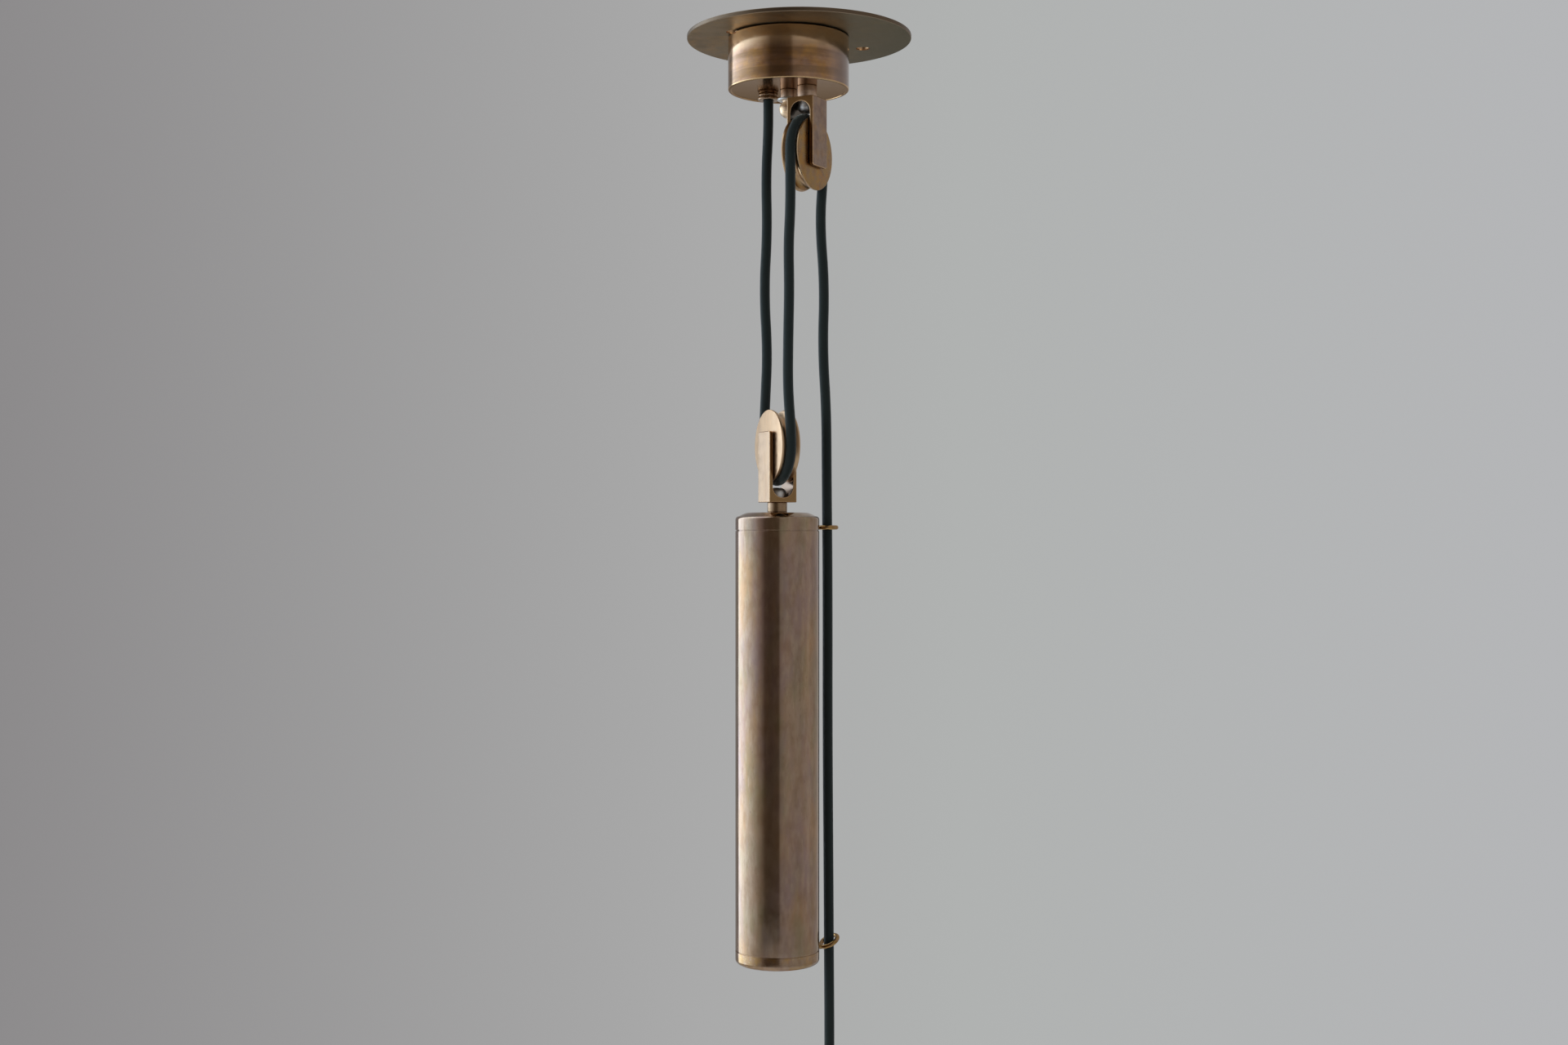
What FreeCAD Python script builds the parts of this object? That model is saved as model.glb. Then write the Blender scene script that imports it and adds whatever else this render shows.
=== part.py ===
import FreeCAD, Part
import math
import os

# Adjustable pendant light: a ceiling plate with a wiring cup and a pulley, a cylindrical counterweight
# with its own pulley, and a lampholder, all on one textile cord.
# The cord leaves the cup, goes down round the counterweight's pulley, up over the cup's pulley, and down
# through two wire eyes on the counterweight to the lampholder.
# Millimetres. Z is up. The origin is the centre of the plate's top face, which lies on the ceiling.

# Clearances and shared small sizes
fit_gap = 0.05
thread_gap = 0.05
cord_play = 0.3
overrun = 1.0
edge_soft = 0.35

# Cord
cord_diameter = 6.1

# Ceiling plate
plate_diameter = 135.0
plate_thick = 2.4
screw_hole_diameter = 8.2
screw_hole_circle = 88.0
screw_hole_angle = 27.0
entry_hole_diameter = 14.0
entry_offset_x = 15.0
entry_offset_y = -10.0
grommet_wall = 1.6
grommet_lip = 1.2
grommet_lip_thick = 1.0

# Wiring cup, hung a little off the plate's centre
cup_offset_x = -6.4
cup_offset_y = -7.0
cup_diameter = 72.4
cup_height = 31.2
cup_wall = 1.5
cup_gap = 0.9
cup_floor = 1.6
cup_recess = 0.5
cup_rim_round = 1.3
cup_rim_width = 1.8

# Stud that holds the cup, with its collar, washer and ball nut
stud_diameter = 5.0
stud_head_diameter = 9.6
stud_head_depth = 1.9
locknut_flats = 8.0
locknut_height = 3.2
collar_diameter = 10.2
collar_height = 5.1
washer_diameter = 13.2
washer_thick = 1.4
ball_diameter = 11.0
ball_neck_diameter = 7.4
ball_neck_height = 0.9
ball_thread_depth = 6.0

# Cord gland in the cup's floor, its nut, and the stop that takes the cord's pull
gland_offset_x = -12.2
gland_offset_y = 11.5
gland_neck_diameter = 11.8
gland_neck_height = 1.7
gland_flange_diameter = 12.8
gland_flange_height = 2.1
gland_flange_round = 0.7
gland_thread_diameter = 9.6
gland_tail = 6.4
gland_nut_flats = 13.0
gland_nut_height = 3.4
stop_diameter = 13.0
stop_height = 6.0
stop_screw_diameter = 3.0
tail_length = 2.0

# Terminal block and earth screw on the plate's underside
block_wall_gap = 0.95
block_nut_gap = 0.9
block_length = 26.0
block_width = 16.0
block_height = 13.0
block_screw_diameter = 3.0
block_screw_head_diameter = 5.6
block_screw_head_height = 2.0
block_screw_bite = 1.6
terminal_rows = 2
terminal_ways = 3
terminal_spacing = 7.6
terminal_row_spacing = 9.6
terminal_screw_diameter = 3.2
terminal_screw_height = 5.0
terminal_screw_proud = 0.4
earth_offset_x = -8.0
earth_offset_y = -18.0
earth_screw_diameter = 4.0
earth_head_diameter = 7.4
earth_head_height = 2.4
earth_washer_diameter = 9.0
earth_washer_thick = 0.8
lead_diameter = 1.8
lead_pitch = 2.0
lead_bend = 3.0
lead_level = 8.0

# Fork block, one on the cup and one on the counterweight
fork_ball_gap = 0.13
fork_stagger = 3.34
fork_washer_gap = 0.8
fork_depth = 18.0
fork_arm = 2.2
fork_web = 2.9
fork_arm_round = 2.0
fork_spot_gap = 0.3
upper_fork_azimuth = 28.7
upper_headroom = 3.1
upper_axle_to_arm_end = 8.1
lower_fork_azimuth = -23.0
lower_headroom = 3.7
lower_axle_to_arm_end = 8.5
stem_diameter = 11.8
lower_stem_height = 5.6

# Pulley, its bush, axle and thrust washers. The axle's hole is blind in one arm of the fork
pulley_root_diameter = 35.0
pulley_flange_height = 4.0
pulley_width = 11.5
pulley_lip = 1.5
pulley_side_gap = 0.075
groove_gap = 0.25
bush_wall = 1.5
axle_diameter = 6.0
axle_inset = 0.1
axle_blind_wall = 0.6
thrust_washer_diameter = 11.0
thrust_washer_thick = 0.6

# Pan-head screw inside each fork, and the nut inside the cup
fork_screw_diameter = 6.0
fork_screw_head_diameter = 11.0
fork_screw_head_height = 5.6
fork_screw_crown = 3.0
crown_edge_radius_share = 0.77
crown_edge_height_share = 0.77
fork_screw_cross_length = 6.4
fork_screw_cross_width = 1.2
fork_screw_cross_depth = 1.8
fork_nut_flats = 10.0
fork_nut_height = 4.8
fork_screw_end = 1.6

# Counterweight
axle_drop = 173.1
weight_offset_x = -13.1
weight_offset_y = -14.0
weight_diameter = 50.0
weight_length = 268.5
weight_wall = 1.6
top_cap_height = 11.3
top_cap_crown = 2.5
top_cap_round = 2.2
top_cap_shoulder = 0.45
shoulder_radius_share = 0.72
shoulder_mid_radius_share = 0.825
shoulder_mid_height_share = 0.61
crown_mid_radius_share = 0.5
crown_mid_height_share = 0.75
bottom_cap_height = 8.3
bottom_cap_round = 2.7
cap_skirt = 6.0
cap_land = 4.6
seam_width = 0.5
seam_depth = 0.5
core_gap = 0.4
rod_diameter = 10.0
rod_socket_depth = 14.0
rod_nut_flats = 16.0
rod_nut_height = 3.8
rod_washer_diameter = 19.0
rod_washer_thick = 1.0
counterbore_room = 1.5
counterbore_depth = 5.5

# Wire eyes that guide the cord down the counterweight's side
eye_wire = 2.7
eye_ring_radius = 5.5
upper_eye_stand = 9.4
lower_eye_stand = 10.8
eye_azimuth = 29.0
eye_bite = 4.5
eye_flare = 4.5
eye_flare_length = 2.6
eye_beside_seam = 1.5
lower_eye_lean = 31.0

# Lampholder at the cord's lower end
holder_x = 18.3
holder_y = 2.9
holder_top = -616.0
grip_top_diameter = 10.0
grip_diameter = 15.0
grip_taper = 4.0
grip_height = 16.0
grip_spigot_diameter = 10.0
grip_spigot = 8.0
grip_screw_diameter = 3.0
grip_screw_proud = 1.6
holder_wall = 1.2
shell_height = 40.0
shell_overlap = 6.0
holder_cap_height = 20.0
holder_cap_skirt = 6.0
cap_mid_radius_share = 0.78
cap_mid_height_share = 0.66
insert_gap = 0.2
insert_wall = 4.05
insert_floor = 15.0
insert_height = 35.0
socket_diameter = 26.6
sleeve_wall = 0.7
sleeve_height = 17.8
contact_diameter = 8.0
contact_thick = 1.2
holder_terminal_spacing = 18.0
holder_terminal_diameter = 6.0
holder_terminal_height = 2.4
shade_ring_width = 7.45
shade_ring_thick = 5.0
shade_ring_drop = 20.0
shade_ring_round = 1.2

# Worked-out places
cord_r = cord_diameter / 2
cord_bore_r = cord_r + cord_play
pulley_r = pulley_root_diameter / 2 + pulley_flange_height
groove_r = cord_r + groove_gap
cord_ring_r = pulley_root_diameter / 2 + groove_r
plate_under = -plate_thick
cup_top = plate_under - cup_gap
cup_rim = cup_top - cup_height
cup_under = cup_rim + cup_recess
cup_inside = cup_under + cup_floor
cup_inner_r = cup_diameter / 2 - cup_wall
collar_under = cup_under - collar_height
washer_under = collar_under - washer_thick
gland_x = cup_offset_x + gland_offset_x
gland_y = cup_offset_y + gland_offset_y
gland_under = cup_under - gland_neck_height - gland_flange_height
gland_nut_top = cup_inside + gland_nut_height
stop_under = cup_inside + gland_tail
tail_top = stop_under + stop_height + tail_length
fork_slot = pulley_width + 2 * thrust_washer_thick + 4 * pulley_side_gap
fork_width = fork_slot + 2 * fork_arm
axle_beside = fork_width / 2 + fork_ball_gap + ball_diameter / 2
axle_turn = math.radians(upper_fork_azimuth)
fork_offset_x = axle_beside * math.cos(axle_turn) - fork_stagger * math.sin(axle_turn)
fork_offset_y = -axle_beside * math.sin(axle_turn) - fork_stagger * math.cos(axle_turn)
upper_x = cup_offset_x + fork_offset_x
upper_y = cup_offset_y + fork_offset_y
upper_web_end = washer_under - fork_washer_gap
upper_axle_to_web_end = pulley_r + upper_headroom + fork_screw_head_height + fork_web
upper_axle_z = upper_web_end - upper_axle_to_web_end
lower_axle_z = upper_axle_z - axle_drop
lower_axle_to_web_end = pulley_r + lower_headroom + fork_screw_head_height + fork_web
lower_web_end = lower_axle_z - lower_axle_to_web_end
block_offset_y = locknut_flats / math.sqrt(3) + block_nut_gap + block_width / 2
block_far_y = block_offset_y + block_width / 2
block_offset_x = math.sqrt((cup_inner_r - block_wall_gap) ** 2 - block_far_y ** 2) - block_length / 2
weight_r = weight_diameter / 2
weight_top = lower_web_end - lower_stem_height
weight_under = weight_top - weight_length
top_seam = weight_top - top_cap_height
bottom_seam = weight_under + bottom_cap_height
tube_bore_r = weight_r - weight_wall
skirt_r = tube_bore_r - fit_gap
rod_top = top_seam - cap_skirt + (top_cap_height + cap_skirt) / 2
counterbore_r = rod_washer_diameter / 2 + counterbore_room
upper_eye_z = top_seam + seam_width + eye_beside_seam
lower_eye_z = bottom_seam - seam_width - eye_beside_seam
upper_eye_reach = weight_r + upper_eye_stand
lower_eye_reach = weight_r + lower_eye_stand
holder_cap_top = holder_top - grip_height
holder_cap_under = holder_cap_top - holder_cap_height - holder_cap_skirt
insert_bore_r = socket_diameter / 2 + sleeve_wall + fit_gap
insert_r = insert_bore_r + insert_wall
shell_r = insert_r + insert_gap + holder_wall
shell_top = holder_cap_under + shell_overlap
shell_under = shell_top - shell_height
insert_top = shell_top - holder_wall
insert_under = insert_top - insert_height
contact_level = insert_top - insert_floor


def point(x, y, z):
    return FreeCAD.Vector(x, y, z)


up = point(0, 0, 1)
origin = point(0, 0, 0)


def moved(shape, x, y, z=0):
    copy = shape.copy()
    copy.translate(point(x, y, z))
    return copy


def turned_about(shape, axis, angle):
    copy = shape.copy()
    copy.rotate(origin, axis, angle)
    return copy


def rod(radius, low, high, x=0, y=0):
    return Part.makeCylinder(radius, high - low, point(x, y, low), up)


def ring(outer, inner, low, high, x=0, y=0):
    bore = rod(inner, low - overrun, high + overrun, x, y)
    return rod(outer, low, high, x, y).cut(bore)


def cone(low_radius, high_radius, low, high):
    return Part.makeCone(low_radius, high_radius, high - low, point(0, 0, low), up)


def box(width, depth, low, high, x=0, y=0):
    corner = point(x - width / 2, y - depth / 2, low)
    return Part.makeBox(width, depth, high - low, corner, up)


def hexagon(flats, low, high):
    reach = flats / math.sqrt(3)
    corners = [math.radians(60 * k) for k in range(7)]
    wire = Part.makePolygon([point(reach * math.cos(a), reach * math.sin(a), low) for a in corners])
    return Part.Face(wire).extrude(point(0, 0, high - low))


def lathe(start, *steps):
    """Turn an outline of (radius, height) points about Z. A pair of points is an arc through the first."""
    edges = []
    here = point(start[0], 0, start[1])
    for step in steps:
        if len(step) == 2 and isinstance(step[0], tuple):
            middle = point(step[0][0], 0, step[0][1])
            there = point(step[1][0], 0, step[1][1])
            edges.append(Part.Arc(here, middle, there).toShape())
        else:
            there = point(step[0], 0, step[1])
            edges.append(Part.LineSegment(here, there).toShape())
        here = there
    edges.append(Part.LineSegment(here, point(start[0], 0, start[1])).toShape())
    return Part.Face(Part.Wire(edges)).revolve(origin, up, 360)


def quarter(radius, centre_r, centre_z, angle):
    """A point on a rounded edge, for the middle of its arc."""
    turn = math.radians(angle)
    return (centre_r + radius * math.cos(turn), centre_z + radius * math.sin(turn))


def softened(shape, radius, wanted):
    edges = [e for e in shape.Edges if wanted(e)]
    return shape.makeFillet(radius, edges)


def ceiling_plate():
    """Thin spun disc, its lower edge softened, drilled for two ceiling screws."""
    radius = plate_diameter / 2
    soft = edge_soft
    plate = lathe(
        (0, 0),
        (0, plate_under),
        (radius - soft, plate_under),
        (quarter(soft, radius - soft, plate_under + soft, -45), (radius, plate_under + soft)),
        (radius, -soft),
        (quarter(soft, radius - soft, -soft, 45), (radius - soft, 0)),
    )
    for turn in (screw_hole_angle, screw_hole_angle + 180):
        x = screw_hole_circle / 2 * math.cos(math.radians(turn))
        y = screw_hole_circle / 2 * math.sin(math.radians(turn))
        plate = plate.cut(rod(screw_hole_diameter / 2, plate_under - overrun, overrun, x, y))
    entry_x, entry_y = cup_offset_x + entry_offset_x, cup_offset_y + entry_offset_y
    plate = plate.cut(rod(entry_hole_diameter / 2, plate_under - overrun, overrun, entry_x, entry_y))
    plate = plate.cut(moved(stud_solid(thread_gap), cup_offset_x, cup_offset_y))
    low, high = plate_under - overrun, plate_under + block_screw_bite + fit_gap
    block_x, block_y = cup_offset_x + block_offset_x, cup_offset_y + block_offset_y
    plate = plate.cut(rod(block_screw_diameter / 2 + thread_gap, low, high, block_x, block_y))
    earth_x, earth_y = cup_offset_x + earth_offset_x, cup_offset_y + earth_offset_y
    return plate.cut(rod(earth_screw_diameter / 2 + thread_gap, low, high, earth_x, earth_y))


def entry_grommet():
    """Rubber bush that lines the supply cable's hole, its upper face level with the plate."""
    outer = entry_hole_diameter / 2 - fit_gap
    bore = entry_hole_diameter / 2 - grommet_wall
    lip = entry_hole_diameter / 2 + grommet_lip
    low = plate_under - grommet_lip_thick
    bush = rod(outer, plate_under, 0).fuse(rod(lip, low, plate_under)).removeSplitter()
    return moved(bush.cut(rod(bore, low - overrun, overrun)), cup_offset_x + entry_offset_x,
                 cup_offset_y + entry_offset_y)


def stud_end():
    return washer_under - ball_neck_height - ball_thread_depth


def stud_solid(grown):
    """Long countersunk screw, its head level with the plate's top face."""
    shank = stud_diameter / 2 + grown
    head = stud_head_diameter / 2 + grown
    high = overrun if grown else 0
    stud = rod(shank, stud_end(), high).fuse(cone(shank, head, -stud_head_depth, 0))
    if grown:
        stud = stud.fuse(rod(head, 0, high))
    return stud.removeSplitter()


def canopy_stud():
    return moved(stud_solid(0), cup_offset_x, cup_offset_y)


def stud_locknut():
    low = plate_under - locknut_height
    nut = hexagon(locknut_flats, low, plate_under)
    nut = nut.cut(rod(stud_diameter / 2 + thread_gap, low - overrun, plate_under + overrun))
    return moved(nut, cup_offset_x, cup_offset_y)


def canopy_cup():
    """Spun cup with a rounded rim and a recessed floor, open at the top."""
    radius = cup_diameter / 2
    recess_r = radius - cup_rim_width
    cup = lathe(
        (0, cup_under),
        (recess_r, cup_under),
        (recess_r, cup_rim),
        (radius - cup_rim_round, cup_rim),
        (quarter(cup_rim_round, radius - cup_rim_round, cup_rim + cup_rim_round, -45),
         (radius, cup_rim + cup_rim_round)),
        (radius, cup_top),
        (cup_inner_r, cup_top),
        (cup_inner_r, cup_inside),
        (0, cup_inside),
    )
    low, high = cup_under - overrun, cup_inside + overrun
    holes = [
        rod(stud_diameter / 2 + thread_gap, low, high),
        rod(gland_thread_diameter / 2 + thread_gap, low, high, gland_offset_x, gland_offset_y),
        rod(fork_screw_diameter / 2 + thread_gap, low, high, fork_offset_x, fork_offset_y),
    ]
    return moved(cup.cut(holes), cup_offset_x, cup_offset_y)


def stud_collar():
    outer = collar_diameter / 2
    soft = edge_soft
    collar = lathe(
        (stud_diameter / 2 + thread_gap, collar_under),
        (outer - soft, collar_under),
        (quarter(soft, outer - soft, collar_under + soft, -45), (outer, collar_under + soft)),
        (outer, cup_under),
        (stud_diameter / 2 + thread_gap, cup_under),
    )
    return moved(collar, cup_offset_x, cup_offset_y)


def stud_washer():
    washer = ring(washer_diameter / 2, stud_diameter / 2 + thread_gap, washer_under, collar_under)
    return moved(washer, cup_offset_x, cup_offset_y)


def ball_nut():
    """Polished ball on a short neck, tapped for the stud's end."""
    radius = ball_diameter / 2
    neck = ball_neck_diameter / 2
    rise = math.sqrt(radius ** 2 - neck ** 2)
    centre = washer_under - ball_neck_height - rise
    ball = Part.makeSphere(radius, point(0, 0, centre)).fuse(rod(neck, centre, washer_under))
    depth = ball_neck_height + ball_thread_depth + fit_gap
    tapped = rod(stud_diameter / 2 + thread_gap, washer_under - depth, washer_under + overrun)
    return moved(ball.removeSplitter().cut(tapped), cup_offset_x, cup_offset_y)


def cord_gland():
    """Turned bush: a threaded tail through the cup's floor, a neck, and a rounded flange below."""
    bore = cord_bore_r
    flange = gland_flange_diameter / 2
    neck = gland_neck_diameter / 2
    neck_under = cup_under - gland_neck_height
    soft = gland_flange_round
    gland = lathe(
        (bore, gland_under),
        (flange - soft, gland_under),
        (quarter(soft, flange - soft, gland_under + soft, -45), (flange, gland_under + soft)),
        (flange, neck_under - soft),
        (quarter(soft, flange - soft, neck_under - soft, 45), (flange - soft, neck_under)),
        (neck, neck_under),
        (neck, cup_under),
        (gland_thread_diameter / 2, cup_under),
        (gland_thread_diameter / 2, stop_under - fit_gap),
        (bore, stop_under - fit_gap),
    )
    return moved(gland, gland_x, gland_y)


def gland_nut():
    nut = hexagon(gland_nut_flats, cup_inside, gland_nut_top)
    bore = rod(gland_thread_diameter / 2 + thread_gap, cup_inside - overrun, gland_nut_top + overrun)
    return moved(nut.cut(bore), gland_x, gland_y)


def cord_stop():
    """Sleeve clamped on the cord by a grub screw. It rests on the gland's tail and takes the pull."""
    sleeve = ring(stop_diameter / 2, cord_r + fit_gap, stop_under, stop_under + stop_height)
    middle = point(0, 0, stop_under + stop_height / 2)
    hole = Part.makeCylinder(stop_screw_diameter / 2 + thread_gap, stop_diameter, middle, point(-1, 0, 0))
    return moved(sleeve.cut(hole), gland_x, gland_y)


def cord_stop_screw():
    start = point(-cord_r - fit_gap, 0, stop_under + stop_height / 2)
    length = stop_diameter / 2 - cord_r - fit_gap
    screw = Part.makeCylinder(stop_screw_diameter / 2, length, start, point(-1, 0, 0))
    return moved(screw, gland_x, gland_y)


def cord_tail():
    return rod(cord_r, gland_under, tail_top, gland_x, gland_y)


def terminal_places():
    for row in range(terminal_rows):
        for way in range(terminal_ways):
            x = (way - (terminal_ways - 1) / 2) * terminal_spacing
            y = (row - (terminal_rows - 1) / 2) * terminal_row_spacing
            yield cup_offset_x + block_offset_x + x, cup_offset_y + block_offset_y + y


def terminal_block():
    """Three-way screw connector under the plate."""
    x, y = cup_offset_x + block_offset_x, cup_offset_y + block_offset_y
    low = plate_under - block_height
    body = box(block_length, block_width, low, plate_under, x, y)
    body = softened(body, edge_soft, lambda e: abs(e.tangentAt(e.FirstParameter).z) > 0.9)
    body = body.cut(rod(block_screw_diameter / 2 + fit_gap, low - overrun, plate_under + overrun, x, y))
    seat = low + block_screw_head_height
    body = body.cut(rod(block_screw_head_diameter / 2 + fit_gap, low - overrun, seat, x, y))
    bore = terminal_screw_diameter / 2 + thread_gap
    top = low + terminal_screw_height - terminal_screw_proud
    return body.cut([rod(bore, low - overrun, top, tx, ty) for tx, ty in terminal_places()])


def terminal_screws():
    low = plate_under - block_height - terminal_screw_proud
    screws = []
    for x, y in terminal_places():
        slot = box(terminal_screw_diameter, terminal_screw_proud, low, low + terminal_screw_proud, x, y)
        screws.append(rod(terminal_screw_diameter / 2, low, low + terminal_screw_height, x, y).cut(slot))
    return Part.makeCompound(screws)


def block_screw():
    x, y = cup_offset_x + block_offset_x, cup_offset_y + block_offset_y
    low = plate_under - block_height
    head = rod(block_screw_head_diameter / 2, low, low + block_screw_head_height)
    shank = rod(block_screw_diameter / 2, low, plate_under + block_screw_bite)
    return moved(head.fuse(shank).removeSplitter(), x, y)


def earth_screw():
    """Pan-head screw and its washer in the plate, for the earth lead."""
    x, y = cup_offset_x + earth_offset_x, cup_offset_y + earth_offset_y
    washer_low = plate_under - earth_washer_thick
    head = rod(earth_head_diameter / 2, washer_low - earth_head_height, washer_low)
    shank = rod(earth_screw_diameter / 2, washer_low, plate_under + block_screw_bite)
    washer = rod(earth_washer_diameter / 2, washer_low, plate_under)
    return moved(head.fuse([shank, washer]).removeSplitter(), x, y)


def rounded_path(points, radii):
    """Straight runs joined by tangent arcs, one radius for each inner point."""
    edges = []
    here = points[0]
    for before, corner, after, radius in zip(points, points[1:], points[2:], radii):
        back = (before - corner).normalize()
        ahead = (after - corner).normalize()
        half = back.getAngle(ahead) / 2
        reach = radius / math.tan(half)
        first = corner + back * reach
        last = corner + ahead * reach
        bisector = (back + ahead).normalize()
        middle = corner + bisector * (radius / math.sin(half) - radius)
        if here.distanceToPoint(first) > fit_gap:
            edges.append(Part.LineSegment(here, first).toShape())
            start = first
        else:
            start = here
        edges.append(Part.Arc(start, middle, last).toShape())
        here = last
    edges.append(Part.LineSegment(here, points[-1]).toShape())
    return Part.Wire(edges)


def swept_tube(points, radii, radius):
    path = rounded_path(points, radii)
    start = path.Edges[0]
    circle = Part.Circle(points[0], start.tangentAt(start.FirstParameter), radius)
    return path.makePipeShell([Part.Wire(circle.toShape())], True, False), path


def cord_leads():
    """The cord's three cores, from the cord's end to the terminal block's near side."""
    block_face = cup_offset_x + block_offset_x - block_length / 2
    block_y = cup_offset_y + block_offset_y
    high = plate_under - block_height + lead_level
    leads = []
    for way in range(terminal_ways):
        side = way - (terminal_ways - 1) / 2
        x, y = gland_x, gland_y + side * lead_pitch
        entry_y = block_y + side * lead_pitch * 2
        points = [point(x, y, tail_top), point(x, y, high), point(block_face, entry_y, high)]
        leads.append(swept_tube(points, [lead_bend], lead_diameter / 2)[0])
    return Part.makeCompound(leads)


def stem(low, high):
    """Turned spacer between a fork and what carries it."""
    return ring(stem_diameter / 2, fork_screw_diameter / 2 + thread_gap, low, high)


def fork_block(high, arm_end, open_side):
    """Milled block with a round-ended slot. Its axle is at the origin, along X, and its web end is up."""
    low = -arm_end

    def across_arm_end(edge):
        return edge.CenterOfMass.z < low + fit_gap and abs(edge.tangentAt(edge.FirstParameter).x) > 0.9

    block = softened(box(fork_width, fork_depth, low, high), fork_arm_round, across_arm_end)
    slot_r = fork_slot / 2
    apex = high - fork_web
    slot = box(fork_slot, fork_depth + 2 * overrun, low - overrun, apex - slot_r)
    mouth = point(0, -fork_depth / 2 - overrun, apex - slot_r)
    round_end = Part.makeCylinder(slot_r, fork_depth + 2 * overrun, mouth, point(0, 1, 0))
    block = block.cut(slot.fuse(round_end))
    outer = fork_width / 2 - fit_gap
    block = softened(block, edge_soft, lambda e: abs(e.CenterOfMass.x) > outer)
    spot = rod(fork_screw_head_diameter / 2 + fork_spot_gap, apex - slot_r, apex)
    hole = rod(fork_screw_diameter / 2 + thread_gap, apex - overrun, high + overrun)
    return block.cut([spot, hole, axle_bar(open_side, overrun, fit_gap)])


def axle_bar(open_side, outward, inward):
    """Bar along X from the open side of its hole to the blind end, each end moved by a gap."""
    start = point(open_side * (fork_width / 2 + outward), 0, 0)
    length = fork_width + outward + inward - axle_blind_wall - fit_gap
    return Part.makeCylinder(axle_diameter / 2, length, start, point(-open_side, 0, 0))


def fork_axle(open_side):
    return axle_bar(open_side, -axle_inset, 0)


def thrust_washers():
    inner = axle_diameter / 2 + fit_gap
    middle = (fork_slot / 2 + pulley_width / 2) / 2
    washers = []
    for side in (-1, 1):
        low = side * middle - thrust_washer_thick / 2
        washer = ring(thrust_washer_diameter / 2, inner, low, low + thrust_washer_thick)
        washers.append(turned_about(washer, point(0, 1, 0), 90))
    return Part.makeCompound(washers)


def pulley_wheel():
    """Grooved wheel about X. The groove's round bottom follows the cord."""
    half = pulley_width / 2
    hub = axle_diameter / 2 + bush_wall
    soft = edge_soft
    wheel = lathe(
        (hub, -half),
        (pulley_r - soft, -half),
        (quarter(soft, pulley_r - soft, soft - half, -45), (pulley_r, soft - half)),
        (pulley_r, pulley_lip - half),
        (cord_ring_r, -groove_r),
        ((cord_ring_r - groove_r, 0), (cord_ring_r, groove_r)),
        (pulley_r, half - pulley_lip),
        (pulley_r, half - soft),
        (quarter(soft, pulley_r - soft, half - soft, 45), (pulley_r - soft, half)),
        (hub, half),
    )
    return turned_about(wheel, point(0, 1, 0), 90)


def pulley_bush():
    half = pulley_width / 2
    outer = axle_diameter / 2 + bush_wall
    bush = ring(outer, axle_diameter / 2 + fit_gap, -half, half)
    return turned_about(bush, point(0, 1, 0), 90)


def fork_screw(length):
    """Pan-head screw with a cross recess, its seat at the origin, its shank up, its head down."""
    head_r = fork_screw_head_diameter / 2
    rim = fork_screw_crown - fork_screw_head_height
    shoulder = (head_r * crown_edge_radius_share, rim - fork_screw_crown * crown_edge_height_share)
    screw = lathe(
        (0, -fork_screw_head_height),
        (shoulder, (head_r, rim)),
        (head_r, 0),
        (fork_screw_diameter / 2, 0),
        (fork_screw_diameter / 2, length),
        (0, length),
    )
    floor = -fork_screw_head_height + fork_screw_cross_depth
    for wide, deep in ((fork_screw_cross_length, fork_screw_cross_width),
                       (fork_screw_cross_width, fork_screw_cross_length)):
        screw = screw.cut(box(wide, deep, -fork_screw_head_height - overrun, floor))
    return screw


def on_upper_fork(shape):
    """Place a piece made about a fork's axle on the cup's fork."""
    return moved(turned_about(shape, up, -upper_fork_azimuth), upper_x, upper_y, upper_axle_z)


def on_lower_fork(shape):
    """The same fork upside down on the counterweight."""
    flipped = turned_about(shape, point(1, 0, 0), 180)
    aimed = turned_about(flipped, up, -lower_fork_azimuth)
    return moved(aimed, weight_offset_x, weight_offset_y, lower_axle_z)


def upper_stem():
    return moved(stem(upper_web_end, cup_under), upper_x, upper_y)


def lower_stem():
    return moved(stem(weight_top, lower_web_end), weight_offset_x, weight_offset_y)


def upper_fork_screw():
    seat = upper_axle_to_web_end - fork_web
    length = fork_web + cup_inside - upper_web_end + fork_nut_height + fork_screw_end
    return on_upper_fork(moved(fork_screw(length), 0, 0, seat))


def upper_fork_nut():
    high = cup_inside + fork_nut_height
    nut = hexagon(fork_nut_flats, cup_inside, high)
    bore = rod(fork_screw_diameter / 2 + thread_gap, cup_inside - overrun, high + overrun)
    return moved(nut.cut(bore), upper_x, upper_y)


def lower_screw_reach():
    return lower_web_end - rod_top + rod_socket_depth - fork_screw_end


def lower_fork_screw():
    seat = lower_axle_to_web_end - fork_web
    return on_lower_fork(moved(fork_screw(fork_web + lower_screw_reach()), 0, 0, seat))


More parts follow.
